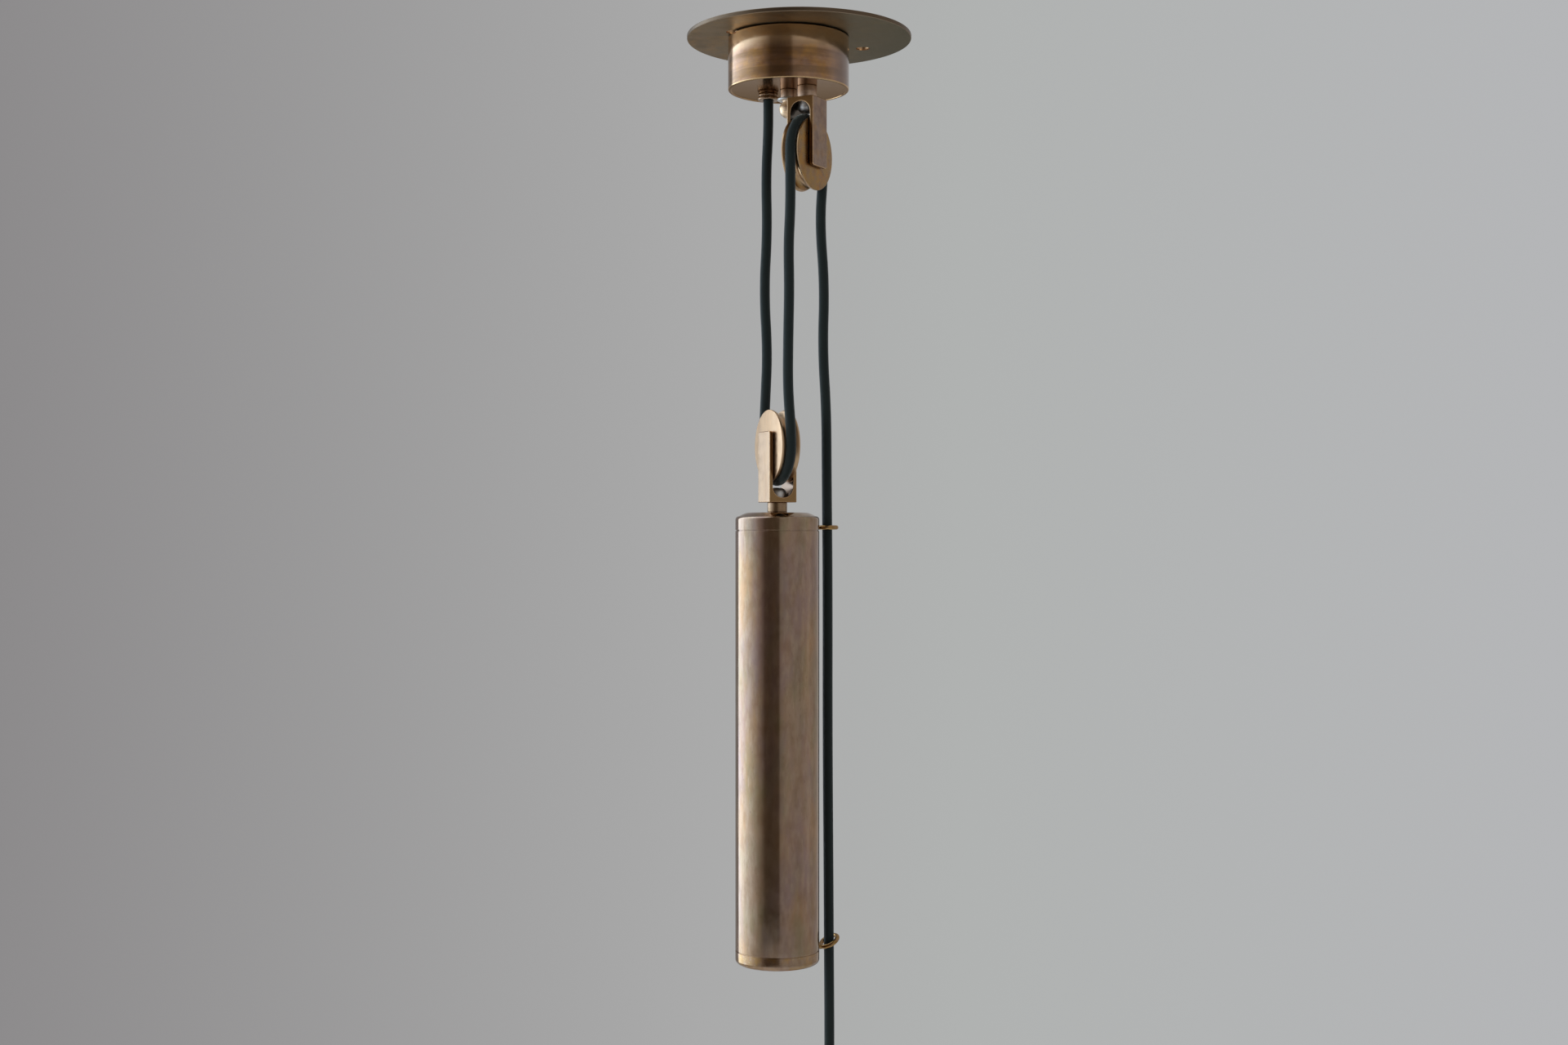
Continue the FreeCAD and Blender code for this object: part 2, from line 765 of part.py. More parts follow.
def top_cap():
    """Turned cap with a pillow crown, a wall level with the tube, and a skirt inside the tube."""
    wall_top = weight_top - top_cap_crown
    round_r = weight_r - top_cap_round
    shoulder_r = weight_r * shoulder_radius_share
    shoulder_z = weight_top - top_cap_shoulder
    rise = shoulder_z - wall_top
    middle = (weight_r * shoulder_mid_radius_share, wall_top + rise * shoulder_mid_height_share)
    crown = (shoulder_r * crown_mid_radius_share, shoulder_z + top_cap_shoulder * crown_mid_height_share)
    skirt_under = top_seam - cap_skirt
    bore = skirt_r - cap_land
    hole = fork_screw_diameter / 2 + thread_gap
    cap = lathe(
        (hole, rod_top),
        (bore, rod_top),
        (bore, skirt_under),
        (skirt_r, skirt_under),
        (skirt_r, top_seam),
        (weight_r - seam_depth, top_seam),
        (weight_r - seam_depth, top_seam + seam_width),
        (weight_r, top_seam + seam_width),
        (weight_r, wall_top - top_cap_round),
        (quarter(top_cap_round, round_r, wall_top - top_cap_round, 45), (round_r, wall_top)),
        (middle, (shoulder_r, shoulder_z)),
        (crown, (hole, weight_top)),
    )
    cap = cap.cut(upper_eye_shank(fit_gap))
    return moved(cap, weight_offset_x, weight_offset_y)


def weight_tube():
    return moved(ring(weight_r, tube_bore_r, bottom_seam, top_seam), weight_offset_x, weight_offset_y)


def bottom_cap():
    """Turned cap with a rounded lower edge and a counterbore for the rod's nut."""
    round_r = weight_r - bottom_cap_round
    seat = weight_under + counterbore_depth
    hole = rod_diameter / 2 + fit_gap
    cap = lathe(
        (hole, bottom_seam + cap_skirt),
        (hole, seat),
        (counterbore_r, seat),
        (counterbore_r, weight_under),
        (round_r, weight_under),
        (quarter(bottom_cap_round, round_r, weight_under + bottom_cap_round, -45),
         (weight_r, weight_under + bottom_cap_round)),
        (weight_r, bottom_seam - seam_width),
        (weight_r - seam_depth, bottom_seam - seam_width),
        (weight_r - seam_depth, bottom_seam),
        (skirt_r, bottom_seam),
        (skirt_r, bottom_seam + cap_skirt),
    )
    cap = cap.cut(lower_eye_shank(fit_gap))
    return moved(cap, weight_offset_x, weight_offset_y)


def weight_core():
    low, high = bottom_seam + cap_skirt, top_seam - cap_skirt
    core = ring(tube_bore_r - core_gap, rod_diameter / 2 + core_gap, low, high)
    return moved(core, weight_offset_x, weight_offset_y)


def rod_nut_under():
    return weight_under + counterbore_depth - rod_washer_thick - rod_nut_height


def tie_rod():
    """Rod through the whole counterweight, tapped at its top for the fork's screw."""
    bar = rod(rod_diameter / 2, rod_nut_under(), rod_top)
    socket = rod(fork_screw_diameter / 2 + thread_gap, rod_top - rod_socket_depth, rod_top + overrun)
    return moved(bar.cut(socket), weight_offset_x, weight_offset_y)


def tie_rod_washer():
    high = weight_under + counterbore_depth
    washer = ring(rod_washer_diameter / 2, rod_diameter / 2 + fit_gap, high - rod_washer_thick, high)
    return moved(washer, weight_offset_x, weight_offset_y)


def tie_rod_nut():
    low = rod_nut_under()
    nut = hexagon(rod_nut_flats, low, low + rod_nut_height)
    bore = rod(rod_diameter / 2 + thread_gap, low - overrun, low + rod_nut_height + overrun)
    return moved(nut.cut(bore), weight_offset_x, weight_offset_y)


def eye_direction():
    turn = math.radians(eye_azimuth)
    return point(math.cos(turn), math.sin(turn), 0)


def eye_shank(grown, z, reach, lean):
    """The eye's threaded shank, from inside the wall to its ring."""
    inner = weight_r - eye_bite
    length = reach - eye_ring_radius * math.cos(math.radians(lean)) - inner
    start = eye_direction() * (inner - grown)
    return Part.makeCylinder(eye_wire / 2 + grown, length + grown, start + point(0, 0, z), eye_direction())


def upper_eye_shank(grown):
    return eye_shank(grown, upper_eye_z, upper_eye_reach, 0)


def lower_eye_shank(grown):
    return eye_shank(grown, lower_eye_z, lower_eye_reach, lower_eye_lean)


def wire_eye(shank, z, reach, lean):
    """Wire ring on a shank that flares where it meets the wall. The ring leans up from the shank."""
    along = eye_direction()
    rise = math.radians(lean)
    centre = along * reach + point(0, 0, z + eye_ring_radius * math.sin(rise))
    axis = up * math.cos(rise) - along * math.sin(rise)
    hoop = Part.makeTorus(eye_ring_radius, eye_wire / 2, centre, axis)
    start = along * (weight_r + fit_gap) + point(0, 0, z)
    flare = Part.makeCone(eye_flare / 2, eye_wire / 2, eye_flare_length, start, along)
    eye = hoop.fuse([shank, flare]).removeSplitter()
    return moved(eye, weight_offset_x, weight_offset_y)


def upper_cord_eye():
    return wire_eye(upper_eye_shank(0), upper_eye_z, upper_eye_reach, 0)


def lower_cord_eye():
    return wire_eye(lower_eye_shank(0), lower_eye_z, lower_eye_reach, lower_eye_lean)


def grip_screw_z():
    return holder_top - (grip_taper + grip_height) / 2


def holder_cord_grip():
    """Turned cord grip that screws into the lampholder's cap."""
    spigot = grip_spigot_diameter / 2
    grip = lathe(
        (cord_bore_r, holder_top),
        (cord_bore_r, holder_cap_top - grip_spigot),
        (spigot, holder_cap_top - grip_spigot),
        (spigot, holder_cap_top),
        (grip_diameter / 2, holder_cap_top),
        (grip_diameter / 2, holder_top - grip_taper),
        (grip_top_diameter / 2, holder_top),
    )
    middle = point(0, 0, grip_screw_z())
    hole = Part.makeCylinder(grip_screw_diameter / 2 + thread_gap, grip_diameter, middle, point(0, -1, 0))
    return moved(grip.cut(hole), holder_x, holder_y)


def grip_screw():
    length = grip_diameter / 2 - cord_bore_r + grip_screw_proud
    start = point(0, -cord_bore_r, grip_screw_z())
    screw = Part.makeCylinder(grip_screw_diameter / 2, length, start, point(0, -1, 0))
    return moved(screw, holder_x, holder_y)


def holder_cap():
    """Spun bell-shaped cap over the lampholder's terminals."""
    outer = shell_r + fit_gap + holder_wall
    crown = grip_diameter / 2
    drop = holder_cap_height
    middle_r = crown + (outer - crown) * cap_mid_radius_share
    middle_z = holder_cap_top - drop * (1 - cap_mid_height_share)
    bore = grip_spigot_diameter / 2 + thread_gap
    cap = lathe(
        (bore, holder_cap_top),
        (crown, holder_cap_top),
        ((middle_r, middle_z), (outer, holder_cap_top - drop)),
        (outer, holder_cap_under),
        (outer - holder_wall, holder_cap_under),
        (outer - holder_wall, holder_cap_top - drop),
        ((middle_r - holder_wall, middle_z - holder_wall), (crown, holder_cap_top - holder_wall)),
        (bore, holder_cap_top - holder_wall),
    )
    return moved(cap, holder_x, holder_y)


def holder_shell():
    """Threaded barrel that a shade slides up on."""
    shell = ring(shell_r, shell_r - holder_wall, shell_under, shell_top)
    return moved(shell, holder_x, holder_y)


def holder_insert():
    """Glazed ceramic body round the socket."""
    insert = lathe(
        (0, insert_top),
        (insert_r, insert_top),
        (insert_r, insert_under),
        (insert_bore_r, insert_under),
        (insert_bore_r, contact_level),
        (0, contact_level),
    )
    return moved(insert, holder_x, holder_y)


def socket_sleeve():
    """Brass sleeve that the lamp screws into, below the centre contact."""
    bore = socket_diameter / 2
    high = contact_level - contact_thick
    sleeve = ring(bore + sleeve_wall, bore, high - sleeve_height, high)
    return moved(sleeve, holder_x, holder_y)


def centre_contact():
    return rod(contact_diameter / 2, contact_level - contact_thick, contact_level, holder_x, holder_y)


def holder_terminals():
    """Two terminal screws on the ceramic body."""
    half = holder_terminal_spacing / 2
    high = insert_top + holder_terminal_height
    screws = []
    for side in (-1, 1):
        x = holder_x + side * half
        slot = box(holder_terminal_diameter, contact_thick, high - contact_thick, high, x, holder_y)
        screws.append(rod(holder_terminal_diameter / 2, insert_top, high, x, holder_y).cut(slot))
    return Part.makeCompound(screws)


def holder_leads():
    """The cord's two cores, from its end to the terminal screws."""
    start_z = holder_cap_top - grip_spigot
    leads = []
    for side in (-1, 1):
        x = holder_x + side * lead_pitch / 2
        foot_x = holder_x + side * holder_terminal_spacing / 2
        foot = point(foot_x, holder_y, insert_top + holder_terminal_height)
        middle = point(x, holder_y, (start_z + foot.z) / 2)
        points = [point(x, holder_y, start_z), middle, foot]
        leads.append(swept_tube(points, [lead_bend], lead_diameter / 2)[0])
    return Part.makeCompound(leads)


def shade_ring():
    """Threaded ring that clamps a shade on the barrel."""
    inner = shell_r + fit_gap
    outer = inner + shade_ring_width
    high = shell_top - shade_ring_drop
    low = high - shade_ring_thick
    soft = shade_ring_round
    hoop = lathe(
        (inner, low),
        (outer - soft, low),
        (quarter(soft, outer - soft, low + soft, -45), (outer, low + soft)),
        (outer, high - soft),
        (quarter(soft, outer - soft, high - soft, 45), (outer - soft, high)),
        (inner, high),
    )
    return moved(hoop, holder_x, holder_y)


def pulley_front(azimuth):
    """Level direction in a pulley's plane, towards its front run."""
    turn = math.radians(azimuth)
    return point(-math.sin(turn), -math.cos(turn), 0)


def half_turn(centre, azimuth, over):
    """Corners of the route round half a pulley, from one tangent's outer point to the other's."""
    front = pulley_front(azimuth)
    steps = 4
    step = 180 / steps
    reach = cord_ring_r / math.cos(math.radians(step / 2))
    side = 1 if over else -1
    corners = []
    for k in range(steps):
        turn = math.radians(step * (k + 0.5))
        corners.append(centre + front * (reach * math.cos(turn)) + up * (side * reach * math.sin(turn)))
    approach = cord_ring_r * math.tan(math.radians(step / 2))
    first = centre + front * cord_ring_r - up * (side * approach)
    last = centre - front * cord_ring_r - up * (side * approach)
    return first, corners, last


upper_centre = point(upper_x, upper_y, upper_axle_z)
lower_centre = point(weight_offset_x, weight_offset_y, lower_axle_z)
upper_first, upper_corners, upper_last = half_turn(upper_centre, upper_fork_azimuth, True)
lower_first, lower_corners, lower_last = half_turn(lower_centre, lower_fork_azimuth, False)

# The cord's route between the pulleys, chosen by hand: each run wavers a little, as it hangs
fixed_waver = [
    point(-18.6, 4.5, -57),
    point(-20.0, 4.7, -84),
    point(-19.2, 4.8, -117),
    point(-21.2, 5.0, -153),
    point(-19.1, 5.1, -190),
    point(-20.3, 5.1, -217),
]
middle_waver = [
    point(-6.9, -33.4, -214),
    point(-6.6, -33.7, -184),
    point(-6.0, -34.1, -156),
    point(-6.5, -34.4, -131),
    point(-5.3, -34.6, -108),
]
lamp_waver = [
    point(12.5, 1.8, -112),
    point(15.4, 2.1, -150),
    point(14.2, 2.4, -188),
    point(16.5, 2.7, -226),
    point(16.7, 2.8, -264),
    point(17.3, 2.8, -330),
    point(17.2, 2.9, -418),
    point(17.8, 3.1, -505),
    point(18.1, 3.3, -558),
    point(18.3, 2.9, -592),
]


def run_radii(points):
    """Each arc of a run is as large as its two sides allow."""
    radii = []
    for before, corner, after in zip(points, points[1:], points[2:]):
        shorter = min(before.distanceToPoint(corner), corner.distanceToPoint(after))
        half_bend = (corner - before).getAngle(after - corner) / 2
        radii.append(0.45 * shorter / math.tan(half_bend))
    return radii


def cord_piece(name, points, radii):
    tube, path = swept_tube(points, radii, cord_r)
    section = math.pi * cord_r ** 2
    print(name, "length", round(path.Length, 1), "least radius", round(min(radii), 1),
          "volume share", round(tube.Volume / (section * path.Length), 4))
    return tube


def run_piece(name, points):
    return cord_piece(name, points, run_radii(points))


def bend_piece(name, centre, azimuth, over):
    """The half turn itself: an exact half ring in the pulley's groove."""
    front = pulley_front(azimuth)
    side = 1 if over else -1
    start, stop = centre + front * cord_ring_r, centre - front * cord_ring_r
    arc = Part.Arc(start, centre + up * (side * cord_ring_r), stop).toShape()
    circle = Part.Circle(start, up, cord_r)
    tube = Part.Wire([arc]).makePipeShell([Part.Wire(circle.toShape())], True, False)
    print(name, "length", round(arc.Length, 1), "radius", round(cord_ring_r, 1),
          "volume share", round(tube.Volume / (math.pi * cord_r ** 2 * arc.Length), 4))
    return tube


def tangent(centre, azimuth, side):
    return centre + pulley_front(azimuth) * (side * cord_ring_r)


def cord_fixed_run():
    first = point(gland_x, gland_y, gland_under)
    last = tangent(lower_centre, lower_fork_azimuth, -1)
    return run_piece("cord_fixed_run", [first] + fixed_waver + [lower_last, last])


def cord_middle_run():
    first = tangent(lower_centre, lower_fork_azimuth, 1)
    last = tangent(upper_centre, upper_fork_azimuth, 1)
    return run_piece("cord_middle_run", [first, lower_first] + middle_waver + [upper_first, last])


def cord_lamp_run():
    first = tangent(upper_centre, upper_fork_azimuth, -1)
    last = point(holder_x, holder_y, holder_top)
    return run_piece("cord_lamp_run", [first, upper_last] + lamp_waver + [last])


def cord_lamp_end():
    return rod(cord_r, holder_cap_top - grip_spigot, holder_top, holder_x, holder_y)


def cord_upper_bend():
    return bend_piece("cord_upper_bend", upper_centre, upper_fork_azimuth, True)


def cord_lower_bend():
    return bend_piece("cord_lower_bend", lower_centre, lower_fork_azimuth, False)


nodes = {
    "ceiling_plate": ceiling_plate(),
    "entry_grommet": entry_grommet(),
    "canopy_stud": canopy_stud(),
    "stud_locknut": stud_locknut(),
    "canopy_cup": canopy_cup(),
    "stud_collar": stud_collar(),
    "stud_washer": stud_washer(),
    "ball_nut": ball_nut(),
    "cord_gland": cord_gland(),
    "gland_nut": gland_nut(),
    "cord_stop": cord_stop(),
    "cord_stop_screw": cord_stop_screw(),
    "cord_tail": cord_tail(),
    "terminal_block": terminal_block(),
    "terminal_screws": terminal_screws(),
    "block_screw": block_screw(),
    "earth_screw": earth_screw(),
    "cord_leads": cord_leads(),
    "upper_stem": upper_stem(),
    "upper_fork": on_upper_fork(fork_block(upper_axle_to_web_end, upper_axle_to_arm_end, -1)),
    "upper_fork_screw": upper_fork_screw(),
    "upper_fork_nut": upper_fork_nut(),
    "upper_axle": on_upper_fork(fork_axle(-1)),
    "upper_thrust_washers": on_upper_fork(thrust_washers()),
    "upper_pulley_wheel": on_upper_fork(pulley_wheel()),
    "upper_pulley_bush": on_upper_fork(pulley_bush()),
    "lower_stem": lower_stem(),
    "lower_fork": on_lower_fork(fork_block(lower_axle_to_web_end, lower_axle_to_arm_end, 1)),
    "lower_fork_screw": lower_fork_screw(),
    "lower_axle": on_lower_fork(fork_axle(1)),
    "lower_thrust_washers": on_lower_fork(thrust_washers()),
    "lower_pulley_wheel": on_lower_fork(pulley_wheel()),
    "lower_pulley_bush": on_lower_fork(pulley_bush()),
    "weight_top_cap": top_cap(),
    "weight_tube": weight_tube(),
    "weight_bottom_cap": bottom_cap(),
    "weight_core": weight_core(),
    "tie_rod": tie_rod(),
    "tie_rod_washer": tie_rod_washer(),
    "tie_rod_nut": tie_rod_nut(),
    "upper_cord_eye": upper_cord_eye(),
    "lower_cord_eye": lower_cord_eye(),
    "holder_cord_grip": holder_cord_grip(),
    "grip_screw": grip_screw(),
    "holder_cap": holder_cap(),
    "holder_shell": holder_shell(),
    "holder_insert": holder_insert(),
    "socket_sleeve": socket_sleeve(),
    "centre_contact": centre_contact(),
    "holder_terminals": holder_terminals(),
    "holder_leads": holder_leads(),
    "shade_ring": shade_ring(),
    "cord_fixed_run": cord_fixed_run(),
    "cord_lower_bend": cord_lower_bend(),
    "cord_middle_run": cord_middle_run(),
    "cord_upper_bend": cord_upper_bend(),
    "cord_lamp_run": cord_lamp_run(),
    "cord_lamp_end": cord_lamp_end(),
}

os.makedirs("parts", exist_ok=True)
for name, shape in nodes.items():
    if not shape.isValid() or shape.Volume <= 0:
        print("bad solid", name)
    shape.exportStep(os.path.join("parts", name + ".step"))
print(len(nodes), "nodes written")
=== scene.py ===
# %% [markdown]
# # An adjustable pendant light, dressed
#
# The light is a rise-and-fall suspension: a ceiling plate, a small wiring cup, two forked pulleys, a long
# brass counterweight and one textile cord. The frame holds every piece at its real size, in metres, and
# most sizes and places here are read from it. This script gives each visible piece its finish, and a
# finer mesh where the plain one is too coarse.

# %% Load the frame
import math
from collections import namedtuple

import bmesh
import bpy
from mathutils import Matrix, Vector


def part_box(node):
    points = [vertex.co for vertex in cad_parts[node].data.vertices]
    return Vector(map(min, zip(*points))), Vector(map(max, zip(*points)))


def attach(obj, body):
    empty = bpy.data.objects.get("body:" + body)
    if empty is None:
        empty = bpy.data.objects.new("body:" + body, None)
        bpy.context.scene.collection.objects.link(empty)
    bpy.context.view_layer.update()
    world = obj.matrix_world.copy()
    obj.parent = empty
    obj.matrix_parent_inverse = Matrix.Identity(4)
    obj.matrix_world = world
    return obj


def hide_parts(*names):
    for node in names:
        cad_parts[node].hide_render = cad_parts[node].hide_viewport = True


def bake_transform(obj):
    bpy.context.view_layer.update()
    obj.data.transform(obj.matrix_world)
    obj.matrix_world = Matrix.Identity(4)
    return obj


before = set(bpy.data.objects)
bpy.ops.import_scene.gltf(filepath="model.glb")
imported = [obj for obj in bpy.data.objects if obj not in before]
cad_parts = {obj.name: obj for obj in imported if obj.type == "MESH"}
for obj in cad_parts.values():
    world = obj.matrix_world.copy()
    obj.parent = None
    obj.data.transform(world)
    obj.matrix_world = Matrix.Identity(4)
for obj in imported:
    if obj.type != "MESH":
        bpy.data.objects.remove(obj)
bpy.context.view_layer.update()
mm = 0.001

# %% [markdown]
# ## One helper for every node
#
# Shader trees, world trees and geometry trees are all built with the same call. It adds a node, sets its
# own settings, and fills its inputs: a socket is linked, a node stands for its first output, and anything
# else becomes the input's value.

# %% A node with its settings and links
def feed(tree, node, inputs):
    for name, value in inputs.items():
        source = value.outputs[0] if isinstance(value, bpy.types.Node) else value
        if isinstance(source, bpy.types.NodeSocket):
            tree.links.new(source, node.inputs[name])
        else:
            node.inputs[name].default_value = source


def add(tree, kind, inputs=None, **settings):
    node = tree.nodes.new(kind)
    for name, value in settings.items():
        setattr(node, name, value)
    feed(tree, node, inputs or {})
    return node


def colour(code):
    """An sRGB hex colour as linear red, green, blue and alpha."""
    parts = [int(code[place:place + 2], 16) / 255 for place in (1, 3, 5)]
    return tuple(c / 12.92 if c <= 0.04045 else ((c + 0.055) / 1.055) ** 2.4 for c in parts) + (1.0,)


def stops(ramp, table):
    """Fills a colour ramp from (place, colour) pairs."""
    elements = ramp.color_ramp.elements
    while len(elements) < len(table):
        elements.new(1.0)
    for element, (place, shade) in zip(elements, table):
        element.position = place
        element.color = shade


# %% Objects and their meshes
def shown(name, data):
    """A new object in the scene."""
    thing = bpy.data.objects.new(name, data)
    bpy.context.scene.collection.objects.link(thing)
    return thing


def baked(thing):
    """An object's shape as its modifiers leave it, as a plain mesh."""
    return bpy.data.meshes.new_from_object(thing.evaluated_get(bpy.context.evaluated_depsgraph_get()))


# %% [markdown]
# ## The camera
#
# The photo is taken level, a little below the ceiling, with a long lens. The camera's distance and height
# come from the plate's ellipse, and the focal length from the plate's width.

# %% Camera
camera_place = Vector((-9.11, -1157.0, -293.1)) * mm
photo_width_px = 1920
focal_length_px = 2350
sensor_width_mm = 36.0

camera_data = bpy.data.cameras.new("photo_camera")
camera_data.sensor_width = sensor_width_mm
camera_data.lens = sensor_width_mm * focal_length_px / photo_width_px
camera_data.clip_start = 10 * mm
camera = shown("photo_camera", camera_data)
camera.location = camera_place
camera.rotation_euler = (math.radians(90), 0, 0)
bpy.context.scene.camera = camera
bpy.context.scene.view_settings.view_transform = "Standard"
print("lens", round(camera_data.lens, 2), "mm")

# %% [markdown]
# ## The studio
#
# Polished metal shows what stands round it, so the light is drawn as a panorama: a tall window with cool
# daylight on the left, the grey backdrop behind the light, a dim wall on the right, and the dark room
# behind the photographer. Each stop is a compass angle, a level and how cool it is. The angle is 0 behind
# the object and grows to the right. The room gets darker downwards. The camera sees the plain grey
# backdrop on every side.

# %% World
panorama = (
    (-180, 0.12, -0.6), (-161, 0.10, -0.6), (-146, 0.12, -0.6), (-130, 0.38, 0), (-110, 0.78, 0.6),
    (-88, 1.38, 1), (-70, 2.0, 1), (-56, 2.3, 1), (-48, 2.15, 1), (-45, 0.45, 0.4), (-39, 0.28, 0),
    (-22, 0.28, 0), (-12, 0.32, 0), (0, 0.40, 0), (13, 0.45, 0), (24, 0.46, 0), (62, 0.40, 0), (85, 0.48, 0),
    (116, 0.385, 0), (151, 0.41, 0), (165, 0.36, 0), (171, 0.32, 0), (176, 0.12, -0.6), (180, 0.12, -0.6),
)
panorama_peak = 2.3
cool = Vector((0.0, 0.22, 0.45))
darkest_below, brightest_above = -0.75, -0.2
darkest_share = 0.4
backdrop_shades = ((0.0, "#8c8a8b"), (0.45, "#aaaaaa"), (0.62, "#b0b2b1"), (1.0, "#b5b6b8"))
backdrop_reach = 0.38


def panel_colour(level, coolness):
    """A panorama level as a colour, bluer where daylight comes in."""
    return tuple(level / panorama_peak * (1 + coolness * part) for part in cool) + (1.0,)


world = bpy.data.worlds.new("studio")
bpy.context.scene.world = world
world.use_nodes = True
tree = world.node_tree
tree.nodes.clear()
aim = add(tree, "ShaderNodeTexCoord").outputs["Generated"]
split = add(tree, "ShaderNodeSeparateXYZ", {"Vector": aim}).outputs
compass = add(tree, "ShaderNodeMath", {0: split["X"], 1: split["Y"]}, operation="ARCTAN2")
share = add(tree, "ShaderNodeMapRange", {"Value": compass, "From Min": -math.pi, "From Max": math.pi})
ramp = add(tree, "ShaderNodeValToRGB", {"Fac": share})
stops(ramp, [((angle + 180) / 360, panel_colour(level, coolness)) for angle, level, coolness in panorama])
shade = add(tree, "ShaderNodeMapRange", {
    "Value": split["Z"], "From Min": darkest_below, "From Max": brightest_above,
    "To Min": darkest_share * panorama_peak, "To Max": panorama_peak})
room = add(tree, "ShaderNodeBackground", {"Color": ramp, "Strength": shade})
across = add(tree, "ShaderNodeMapRange", {
    "Value": split["X"], "From Min": -backdrop_reach, "From Max": backdrop_reach})
grey = add(tree, "ShaderNodeValToRGB", {"Fac": across})
stops(grey, [(place, colour(code)) for place, code in backdrop_shades])
backdrop = add(tree, "ShaderNodeBackground", {"Color": grey})
ray = add(tree, "ShaderNodeLightPath").outputs["Is Camera Ray"]
choice = add(tree, "ShaderNodeMixShader", {0: ray, 1: room, 2: backdrop})
add(tree, "ShaderNodeOutputWorld", {"Surface": choice})
print("panorama with", len(panorama), "stops")

# %% [markdown]
# ## Lamps and floor
#
# Three soft panels fill the matt surfaces, and stay out of the metal's reflections. A wide pale floor,
# well below the light, gives its underside something to show.

# %% Lamps that fill the matt surfaces
lamps_face = Vector((0, 0, -0.35))


def soft_lamp(name, place, size, watts):
    """A square panel that faces the counterweight."""
    data = bpy.data.lights.new(name, "AREA")
    data.size = size
    data.energy = watts
    lamp = shown(name, data)
    lamp.location = place
    lamp.rotation_euler = (lamps_face - Vector(place)).to_track_quat("-Z", "Y").to_euler()
    lamp.visible_glossy = False
    lamp.visible_camera = False
    return lamp


soft_lamp("key_panel", place=(-1.6, -1.1, 0.1), size=1.2, watts=26)
soft_lamp("front_fill", place=(1.1, -1.9, -0.2), size=1.4, watts=16)
soft_lamp("back_fill", place=(0.5, 1.9, 0.2), size=1.4, watts=16)

# %% Floor
floor_drop = 1.35
floor_radius = 2.4

floor_mesh = bpy.data.meshes.new("floor")
shape = bmesh.new()
bmesh.ops.create_circle(shape, cap_ends=True, segments=96, radius=floor_radius,
                        matrix=Matrix.Translation((0, 0, -floor_drop)))
shape.to_mesh(floor_mesh)
shape.free()
floor = shown("floor", floor_mesh)
paint = bpy.data.materials.new("pale_floor_paint")
paint.use_nodes = True
paint_tree = paint.node_tree
feed(paint_tree, paint_tree.nodes["Principled BSDF"], {"Base Color": colour("#b9babb"), "Roughness": 0.8})
floor_mesh.materials.append(paint)
print("floor", floor_drop, "m below the ceiling")

# %% [markdown]
# ## Finishes
#
# Each finish is a real one: drawn brass tube that has gone brown, spun brass with the rings of the
# spinning lathe, milled bronze, polished brass, zinc-plated steel, a braided textile cover. Patterns are
# sized in millimetres and read Object coordinates, which are the frame's own, so they lie still when the
# light is seen from another side. A metal is one colour with soft patches of others laid over it, and its
# roughness wanders.

# %% Finish helpers
Patch = namedtuple("Patch", "code size_mm stretch share")
patch_starts, patch_full = 0.46, 0.66
patch_shift = 0.31
haze_shift = 0.17
white = (1, 1, 1, 1)


def finish(name):
    """A new material with its shader and Object coordinates."""
    material = bpy.data.materials.new(name)
    material.use_nodes = True
    tree = material.node_tree
    return material, tree, tree.nodes["Principled BSDF"], add(tree, "ShaderNodeTexCoord").outputs["Object"]


def cells(size_mm):
    """How many pattern cells of a size fit in a metre: a texture node's scale."""
    return 1000 / size_mm


def soft_spots(tree, place, size_mm, stretch=(1, 1, 1), shift=0.0, turn=(0, 0, 0), detail=4.0, rough=0.55):
    """Soft spots of a size. They are longer where the stretch is small, and a shift takes a fresh part."""
    spread = add(tree, "ShaderNodeMapping", {
        "Vector": place, "Scale": stretch, "Location": (shift, shift, shift), "Rotation": turn})
    spots = add(tree, "ShaderNodeTexNoise", {
        "Vector": spread, "Scale": cells(size_mm), "Detail": detail, "Roughness": rough})
    return spots.outputs["Fac"]


def laid_over(tree, body, layer, value, none_at, full_at, share=1.0, where=1.0):
    """Lays a colour over a body by a value: none of it at one, its full share at the other, as far as a mask
    lets it show."""
    amount = add(tree, "ShaderNodeMapRange", {
        "Value": value, "From Min": none_at, "From Max": full_at, "To Max": share})
    masked = add(tree, "ShaderNodeMath", {0: amount, 1: where}, operation="MULTIPLY")
    mix = add(tree, "ShaderNodeMix", {"Factor": masked, 6: body, 7: layer}, data_type="RGBA")
    return mix.outputs[2]


def upright(tree):
    """How upright a surface is: 0 on a level face, 1 on a wall."""
    normal = add(tree, "ShaderNodeTexCoord").outputs["Normal"]
    part = add(tree, "ShaderNodeSeparateXYZ", {"Vector": normal}).outputs
    level = add(tree, "ShaderNodeMath", {0: part["Z"]}, operation="ABSOLUTE")
    return add(tree, "ShaderNodeMapRange", {"Value": level, "From Min": 0.97, "From Max": 0.6})


def raise_pattern(tree, shader, height, strength, depth_mm):
    """Gives a surface the relief of a pattern, as deep as the real one."""
    bump = add(tree, "ShaderNodeBump", {"Height": height, "Strength": strength, "Distance": depth_mm * mm})
    feed(tree, shader, {"Normal": bump})


